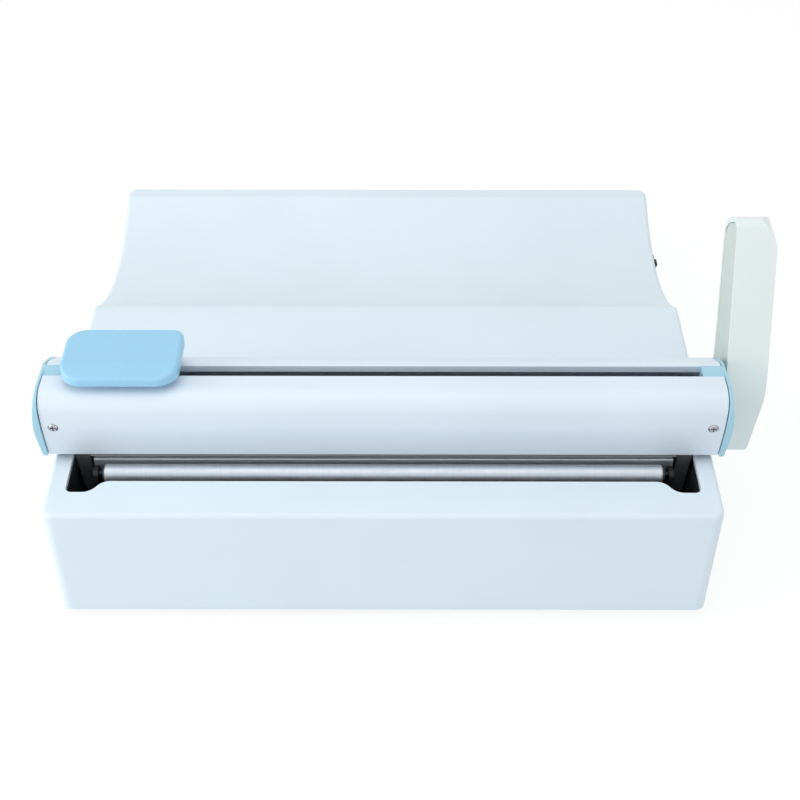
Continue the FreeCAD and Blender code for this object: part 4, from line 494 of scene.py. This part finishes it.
class Weave:
    """A Geometry Nodes tree under construction."""

    def __init__(self, name):
        self.tree = bpy.data.node_groups.new(name, "GeometryNodeTree")
        self.face = self.tree.interface

    def socket(self, name, kind, way="INPUT"):
        self.face.new_socket(name=name, in_out=way, socket_type="NodeSocket" + kind)

    def start(self):
        """Called once the sockets are there: the named inputs and the end of the tree."""
        self.given = self.tree.nodes.new("NodeGroupInput").outputs
        self.end = self.tree.nodes.new("NodeGroupOutput").inputs

    def node(self, kind, inputs=None, **settings):
        made = self.tree.nodes.new(kind)
        for key, value in settings.items():
            setattr(made, key, value)
        for key, value in (inputs or {}).items():
            for part in value if isinstance(value, list) else [value]:
                self.put(made.inputs[key], part)
        return made

    def put(self, socket, value):
        if isinstance(value, bpy.types.NodeSocket):
            self.tree.links.new(value, socket)
        else:
            socket.default_value = value

    def sum(self, operation, first, second=0.0):
        return self.node("ShaderNodeMath", {0: first, 1: second}, operation=operation).outputs[0]

    def vector(self, x=0.0, y=0.0, z=0.0):
        return self.node("ShaderNodeCombineXYZ", {0: x, 1: y, 2: z}).outputs[0]

    def moved(self, mesh, offset):
        return self.node("GeometryNodeTransform", {"Geometry": mesh, "Translation": offset}).outputs[0]

    def key_of(self, name):
        """The identifier under which a modifier keeps the input of this name."""
        for item in self.face.items_tree:
            if item.item_type == "SOCKET" and item.in_out == "INPUT" and item.name == name:
                return item.identifier
        raise RuntimeError("the tree has no input named " + name)


def screw_tree():
    """Cross-headed screws on points: a domed head with a cross recess, and its shank."""
    w = Weave("cross_headed_screws")
    w.socket("Places", "Geometry")
    for name in ("Head radius", "Head height", "Dome", "Recess width", "Recess slot", "Recess depth",
                 "Shank radius", "Shank length"):
        w.socket(name, "Float")
    w.socket("Sides", "Int")
    w.socket("Material", "Material")
    w.socket("Screws", "Geometry", "OUTPUT")
    w.start()
    given = w.given
    head = w.node("GeometryNodeMeshCylinder", {
        "Vertices": given["Sides"], "Side Segments": 1, "Fill Segments": FILL_RINGS,
        "Radius": given["Head radius"], "Depth": given["Head height"]}, fill_type="TRIANGLE_FAN").outputs[0]
    parts = w.node("ShaderNodeSeparateXYZ", {0: w.node("GeometryNodeInputPosition").outputs[0]}).outputs
    square = w.sum("ADD", w.sum("MULTIPLY", parts[0], parts[0]), w.sum("MULTIPLY", parts[1], parts[1]))
    reach = w.sum("DIVIDE", square, w.sum("MULTIPLY", given["Head radius"], given["Head radius"]))
    swell = w.sum("MULTIPLY", w.sum("SUBTRACT", 1.0, reach), given["Dome"])
    crown = w.sum("MULTIPLY", w.sum("GREATER_THAN", parts[2], 0.0), swell)
    lift = w.sum("MULTIPLY", given["Head height"], 0.5)
    head = w.node("GeometryNodeSetPosition", {
        "Geometry": head, "Offset": w.vector(z=w.sum("ADD", lift, crown))}).outputs[0]
    shank = w.node("GeometryNodeMeshCylinder", {
        "Vertices": SHANK_SIDES, "Radius": given["Shank radius"],
        "Depth": w.sum("ADD", given["Shank length"], lift)}).outputs[0]
    shank_middle = w.sum("MULTIPLY", w.sum("SUBTRACT", lift, given["Shank length"]), 0.5)
    shank = w.moved(shank, w.vector(z=shank_middle))
    body = w.node("GeometryNodeMeshBoolean", {"Mesh 2": [head, shank]}, operation="UNION").outputs[0]
    top = w.vector(z=w.sum("ADD", given["Head height"], given["Dome"]))
    deep = w.sum("MULTIPLY", given["Recess depth"], 2.0)
    cuts = []
    for across, along in (("Recess width", "Recess slot"), ("Recess slot", "Recess width")):
        cube = w.node("GeometryNodeMeshCube", {
            "Size": w.vector(given[across], given[along], deep)}).outputs[0]
        cuts.append(w.moved(cube, top))
    body = w.node("GeometryNodeMeshBoolean", {
        "Mesh 1": body, "Mesh 2": cuts}, operation="DIFFERENCE").outputs[0]
    body = w.node("GeometryNodeSetShadeSmooth", {"Geometry": body, "Shade Smooth": True}).outputs[0]
    sharp = w.sum("GREATER_THAN", w.node("GeometryNodeInputMeshEdgeAngle").outputs[0], SHARP_EDGE)
    body = w.node("GeometryNodeSetShadeSmooth", {
        "Geometry": body, "Selection": sharp, "Shade Smooth": False}, domain="EDGE").outputs[0]
    facing = w.node("GeometryNodeInputNamedAttribute", {
        "Name": "facing"}, data_type="FLOAT_VECTOR").outputs[0]
    turn = w.node("FunctionNodeAlignRotationToVector", {"Vector": facing}, axis="Z").outputs[0]
    screws = w.node("GeometryNodeInstanceOnPoints", {
        "Points": given["Places"], "Instance": body, "Rotation": turn}).outputs[0]
    screws = w.node("GeometryNodeRealizeInstances", {"Geometry": screws}).outputs[0]
    screws = w.node("GeometryNodeSetMaterial", {"Geometry": screws, "Material": given["Material"]}).outputs[0]
    w.put(w.end["Screws"], screws)
    return w


def settled(obj, name):
    """One plain mesh from an object with a modifier."""
    graph = bpy.context.evaluated_depsgraph_get()
    mesh = bpy.data.meshes.new_from_object(obj.evaluated_get(graph), depsgraph=graph)
    mesh.name = name
    made = bpy.data.objects.new(name, mesh)
    bpy.context.scene.collection.objects.link(made)
    bpy.data.objects.remove(obj)
    return made


def fastener_places(name, places, facings):
    """An object whose points say where the fasteners of a node sit, and which way they face."""
    mesh = bpy.data.meshes.new(name + "_places")
    mesh.from_pydata(places, [], [])
    field = mesh.attributes.new("facing", "FLOAT_VECTOR", "POINT")
    for entry, facing in zip(field.data, facings):
        entry.vector = facing
    obj = bpy.data.objects.new(name + "_places", mesh)
    bpy.context.scene.collection.objects.link(obj)
    return obj


class SEALER_OT_housing(bpy.types.Operator):
    """Coats the base housing, and gives the well tray a near-black coat that is partly painted shade for the
    deep well
    """

    bl_idname = "sealer.housing"
    bl_label = "Base housing"

    def execute(self, context):
        colours, finish = context.scene.sealer_colours, context.scene.sealer_finish
        dress(coated("housing_coat", colours.housing, finish, 0.42), "base_housing")
        # Near-black on the tray and roller brackets: partly their black coat, partly painted shade down in the
        # well.
        dress(coated("tray_coat", colours.tray, finish, 0.5), "well_tray", "roller_bracket_left",
              "roller_bracket_right")
        return {"FINISHED"}


class SEALER_OT_press_bar(bpy.types.Operator):
    """Coats the covers of the press bar and gives its end caps their light blue plastic"""

    bl_idname = "sealer.press_bar"
    bl_label = "Press bar"

    def execute(self, context):
        colours, finish = context.scene.sealer_colours, context.scene.sealer_finish
        dress(coated("bar_coat", colours.bar, finish, 0.38), "front_cover", "rear_cover")
        dress(moulded("cap_plastic", colours.cap, finish, 0.32, inner=0.05), "end_cap_left", "end_cap_right")
        metals = context.scene.sealer_metals
        dress(turned("beam_aluminium", metals.aluminium, finish, 0.34), "front_beam", "rear_beam")
        dress(satin("arm_steel", metals.arm, finish, 0.5, metal=0.75, across=(1.0, 6.0, 0.5)),
              "press_arm_left", "press_arm_right")
        return {"FINISHED"}


class SEALER_OT_lever(bpy.types.Operator):
    """Gives the lever its off-white plastic, a darker tint of it on the inner cover as painted shade, and its
    hub, shaft and eccentrics their steel
    """

    bl_idname = "sealer.lever"
    bl_label = "Lever and cross shaft"

    def execute(self, context):
        colours, finish, metals = (context.scene.sealer_colours, context.scene.sealer_finish,
                                   context.scene.sealer_metals)
        dress(moulded("lever_plastic", colours.lever, finish, 0.4, inner=0.04), "lever_handle")
        # The darker tint on the inner cover is painted shade for the lever's shaded inner side.
        dress(moulded("lever_inner_plastic", colours.lever_inner_shade, finish, 0.5), "lever_inner_cover")
        dress(turned("shaft_steel", metals.steel, finish, 0.24), "cross_shaft")
        dress(turned("collar_steel", metals.steel, finish, 0.3, ALONG_Y, 0.3), "lever_hub",
              "shaft_collar", "eccentric_left", "eccentric_right", "pivot_pin_left", "pivot_pin_right")
        dress(speckled("bush_bronze", metals.bronze, finish, 0.42, metal=1.0), "shaft_bush_left",
              "shaft_bush_right")
        return {"FINISHED"}


class SEALER_OT_cutter(bpy.types.Operator):
    """Gives the slider its light blue plastic and the blade its ground edge"""

    bl_idname = "sealer.cutter"
    bl_label = "Film cutter"

    def execute(self, context):
        colours, finish, metals = (context.scene.sealer_colours, context.scene.sealer_finish,
                                   context.scene.sealer_metals)
        dress(moulded("slider_plastic", colours.slider, finish, 0.3, inner=0.1, coat=0.15), "cutter_handle")
        dress(moulded("guide_plastic", colours.guide, finish, 0.46), "cutter_carriage", "cutting_strip",
              "roller_plugs")
        dress(turned("blade_steel", metals.blade, finish, 0.16, ALONG_Z, 0.4), "cutter_blade")
        return {"FINISHED"}


class SEALER_OT_jaw(bpy.types.Operator):
    """Gives the lower jaw, its heating bar, the non-stick sheet and the pressure strip their finishes"""

    bl_idname = "sealer.jaw"
    bl_label = "Sealing jaw"

    def execute(self, context):
        colours, finish, metals = (context.scene.sealer_colours, context.scene.sealer_finish,
                                   context.scene.sealer_metals)
        dress(satin("jaw_aluminium", metals.jaw, finish, 0.42, metal=0.6, across=(0.5, 6.0, 6.0)),
              "lower_jaw", "heating_bar")
        dress(woven("nonstick_cloth", colours.cloth, finish), "nonstick_sheet")
        dress(speckled("insulation", colours.insulation, finish, 0.8), "heater_insulator")
        dress(rubber("silicone", colours.silicone, finish, 1.05), "pressure_strip")
        dress(speckled("thermostat_body", colours.thermostat, finish, 0.45), "thermostat")
        return {"FINISHED"}


class SEALER_OT_roller(bpy.types.Operator):
    """Gives the guide roller its satin steel and its axle the black plastic"""

    bl_idname = "sealer.roller"
    bl_label = "Guide roller"

    def execute(self, context):
        finish, metals = context.scene.sealer_finish, context.scene.sealer_metals
        colours = context.scene.sealer_colours
        tube = satin("roller_tube", metals.roller, finish, 0.45, metal=0.7, across=(6.0, 0.5, 0.5),
                     contrast=0.35)
        dress(tube, "guide_roller")
        dress(moulded("axle_black", colours.black, finish, 0.5), "roller_axle")
        return {"FINISHED"}


class SEALER_OT_metalwork(bpy.types.Operator):
    """Plates the side frames and the bottom, and finishes the springs and the feet"""

    bl_idname = "sealer.metalwork"
    bl_label = "Frames, springs and feet"

    def execute(self, context):
        colours, finish, metals = (context.scene.sealer_colours, context.scene.sealer_finish,
                                   context.scene.sealer_metals)
        dress(plated("frame_zinc", metals.zinc, finish, 0.34), "side_frame_left", "side_frame_right",
              "bottom_plate")
        wire = turned("spring_wire", metals.spring, finish, 0.32, WIRE_Z, 0.2)
        for name in ("return_spring_left", "return_spring_right"):
            dress(wire, name)
            self.squeeze(context, name)
        dress(rubber("foot_rubber", colours.rubber, finish, 2.1), "rubber_feet")
        return {"FINISHED"}

    def squeeze(self, context, name):
        """A copy of the spring with a mesh of its own, riding on the base in place of the stiff one."""
        spring = bpy.data.objects.new("squeezed_" + name, nodes[name].data.copy())
        context.scene.collection.objects.link(spring)
        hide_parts(name)
        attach(spring, "base")
        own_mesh(spring)


class SEALER_OT_electrics(bpy.types.Operator):
    """Finishes the switch, the inlet and the control board"""

    bl_idname = "sealer.electrics"
    bl_label = "Switch, inlet and board"

    def execute(self, context):
        colours, finish, metals = (context.scene.sealer_colours, context.scene.sealer_finish,
                                   context.scene.sealer_metals)
        dress(moulded("black_plastic", colours.black, finish, 0.42), "power_inlet", "switch_housing")
        dress(moulded("rocker_plastic", colours.black, finish, 0.24), "switch_rocker")
        dress(turned("pin_brass", metals.brass, finish, 0.26, ALONG_Y, 0.2), "inlet_pins",
              "board_standoffs")
        dress(circuit("solder_mask", colours.board, finish), "control_board")
        dress(speckled("component_case", colours.components, finish, 0.5), "board_components")
        return {"FINISHED"}


class SEALER_OT_screws(bpy.types.Operator):
    """Makes the cross-headed screws, and finishes those of the covers and the lever"""

    bl_idname = "sealer.screws"
    bl_label = "Screws"

    def execute(self, context):
        finish, metals = context.scene.sealer_finish, context.scene.sealer_metals
        steel = turned("screw_steel", metals.steel, finish, 0.28, ALONG_Y, 0.2)
        dress(steel, "lever_screw", "cover_screws", *FASTENERS)
        tree = screw_tree()
        for name, (body, way) in FASTENERS.items():
            self.fasten(context, tree, steel, name, body, way)
        return {"FINISHED"}

    def fasten(self, context, tree, steel, name, body, way):
        """The screws of one node, in place of its plain solids."""
        shares = context.scene.sealer_screws
        found = []
        for points in loose_solids(nodes[name]):
            outward = 1 if sum(point.x for point in points) > 0 else -1
            facing = Vector(way or (outward, 0, 0))
            found.append((measured(points, facing), facing))
        sizes = found[0][0]
        places = [entry["place"] for entry, facing in found]
        obj = fastener_places(name, places, [facing for entry, facing in found])
        screws = obj.modifiers.new("screws", "NODES")
        screws.node_group = tree.tree
        width = sizes["Head radius"] * 2
        values = {key: sizes[key] for key in ("Head radius", "Shank radius", "Shank length")}
        values["Dome"] = width * shares.dome_share
        values["Head height"] = sizes["Head height"] - values["Dome"]
        values["Recess width"] = width * shares.recess_share
        values["Recess slot"] = width * shares.slot_share
        values["Recess depth"] = width * shares.depth_share
        values["Sides"] = shares.sides
        values["Material"] = steel
        for key, value in values.items():
            screws[tree.key_of(key)] = value
        made = settled(obj, "cross_" + name)
        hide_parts(name)
        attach(made, body)


class SEALER_OT_stage(bpy.types.Operator):
    """Sets the camera, the soft boxes, the pale floor and the white air"""

    bl_idname = "sealer.stage"
    bl_label = "Studio"

    def execute(self, context):
        stage = context.scene.sealer_stage
        camera = bpy.data.cameras.new("camera")
        camera.lens = stage.lens
        camera.sensor_width = FILM_WIDTH
        camera.clip_end = VIEW_END
        eye = bpy.data.objects.new("camera", camera)
        context.scene.collection.objects.link(eye)
        aim = Matrix.Translation(stage.camera_place)
        aim @= stage.camera_turn.to_matrix().to_4x4()
        aim @= Matrix.Rotation(stage.camera_roll, 4, "Z")
        eye.matrix_world = aim
        context.scene.camera = eye
        self.floor(context, stage)
        self.air(context, stage)
        for name, (place, size, target) in SOFT_BOXES.items():
            self.soft_box(context, name, getattr(stage, name), place, size, target)
        context.scene.view_settings.view_transform = "Standard"
        return {"FINISHED"}

    def soft_box(self, context, name, power, place, size, target):
        light = bpy.data.lights.new(name, "AREA")
        light.energy = power
        light.shape = "SQUARE"
        light.size = size
        lamp = bpy.data.objects.new(name, light)
        context.scene.collection.objects.link(lamp)
        lamp.location = place
        lamp.rotation_mode = "QUATERNION"
        lamp.rotation_quaternion = (Vector(target) - Vector(place)).to_track_quat("-Z", "Y")
        lamp.visible_camera = False

    def seen_plain(self, tree):
        """1 for rays from the camera, from gloss and through glass, 0 for the rays that carry light."""
        path = tree.nodes.new("ShaderNodeLightPath")
        total = path.outputs["Is Camera Ray"]
        for other in ("Is Glossy Ray", "Is Transmission Ray"):
            most = tree.nodes.new("ShaderNodeMath")
            most.operation = "MAXIMUM"
            tree.links.new(total, most.inputs[0])
            tree.links.new(path.outputs[other], most.inputs[1])
            total = most.outputs[0]
        return total

    def floor(self, context, stage):
        mesh = bpy.data.meshes.new("floor")
        corners = ((-1, -1), (1, -1), (1, 1), (-1, 1))
        mesh.from_pydata([(x * FLOOR_HALF, y * FLOOR_HALF, 0) for x, y in corners], [], [(0, 1, 2, 3)])
        floor = bpy.data.objects.new("floor", mesh)
        context.scene.collection.objects.link(floor)
        f = Finish("floor_paper")
        seen = f.blend(f.fit(f.noise(0.4, 2.0), 0.0, 0.02), opaque(stage.floor), (1, 1, 1, 1))
        tone = f.blend(self.seen_plain(f.tree), opaque(stage.bounce), seen)
        f.set(colour=tone, rough=0.9, specular=0.1)
        white = f.node("ShaderNodeEmission", {"Color": (1, 1, 1, 1), "Strength": stage.white})
        much = f.math("MULTIPLY", self.seen_plain(f.tree), stage.floor_white)
        mix = f.node("ShaderNodeMixShader", {0: much, 1: f.shader.outputs[0], 2: white.outputs[0]})
        out = next(n for n in f.tree.nodes if n.type == "OUTPUT_MATERIAL")
        f.tree.links.new(mix.outputs[0], out.inputs[0])
        mesh.materials.append(f.material)

    def air(self, context, stage):
        world = context.scene.world or bpy.data.worlds.new("air")
        context.scene.world = world
        world.use_nodes = True
        tree = world.node_tree
        tree.nodes.clear()
        light = tree.nodes.new("ShaderNodeBackground")
        light.inputs["Strength"].default_value = stage.air
        white = tree.nodes.new("ShaderNodeBackground")
        mix = tree.nodes.new("ShaderNodeMixShader")
        out = tree.nodes.new("ShaderNodeOutputWorld")
        for background in (light, white):
            background.inputs["Color"].default_value = (1, 1, 1, 1)
        tree.links.new(self.seen_plain(tree), mix.inputs[0])
        tree.links.new(light.outputs[0], mix.inputs[1])
        tree.links.new(white.outputs[0], mix.inputs[2])
        tree.links.new(mix.outputs[0], out.inputs[0])


OPERATORS = (SEALER_OT_stage, SEALER_OT_housing, SEALER_OT_press_bar, SEALER_OT_lever, SEALER_OT_cutter,
             SEALER_OT_jaw, SEALER_OT_roller, SEALER_OT_metalwork, SEALER_OT_electrics, SEALER_OT_screws)


class SEALER_PT_panel(bpy.types.Panel):
    """Lists the steps and their settings."""

    bl_idname = "SEALER_PT_panel"
    bl_label = "Bag sealer"
    bl_space_type = "VIEW_3D"
    bl_region_type = "UI"
    bl_category = "Bag sealer"

    def draw(self, context):
        for step in OPERATORS:
            self.layout.operator(step.bl_idname)
        for name in GROUPS:
            box = self.layout.box()
            group = getattr(context.scene, name)
            for field in group.__annotations__:
                box.prop(group, field)


GROUPS = {
    "sealer_colours": SealerColours,
    "sealer_metals": SealerMetals,
    "sealer_finish": SealerFinish,
    "sealer_screws": SealerScrews,
    "sealer_stage": SealerStage,
}
CLASSES = (*GROUPS.values(), *OPERATORS, SEALER_PT_panel)


def register():
    for item in CLASSES:
        bpy.utils.register_class(item)
    for name, group in GROUPS.items():
        setattr(bpy.types.Scene, name, PointerProperty(type=group))


def unregister():
    for name in GROUPS:
        delattr(bpy.types.Scene, name)
    for item in reversed(CLASSES):
        bpy.utils.unregister_class(item)


def main():
    register()
    for step in OPERATORS:
        group, action = step.bl_idname.split(".")
        getattr(getattr(bpy.ops, group), action)()


if __name__ == "__main__":
    main()
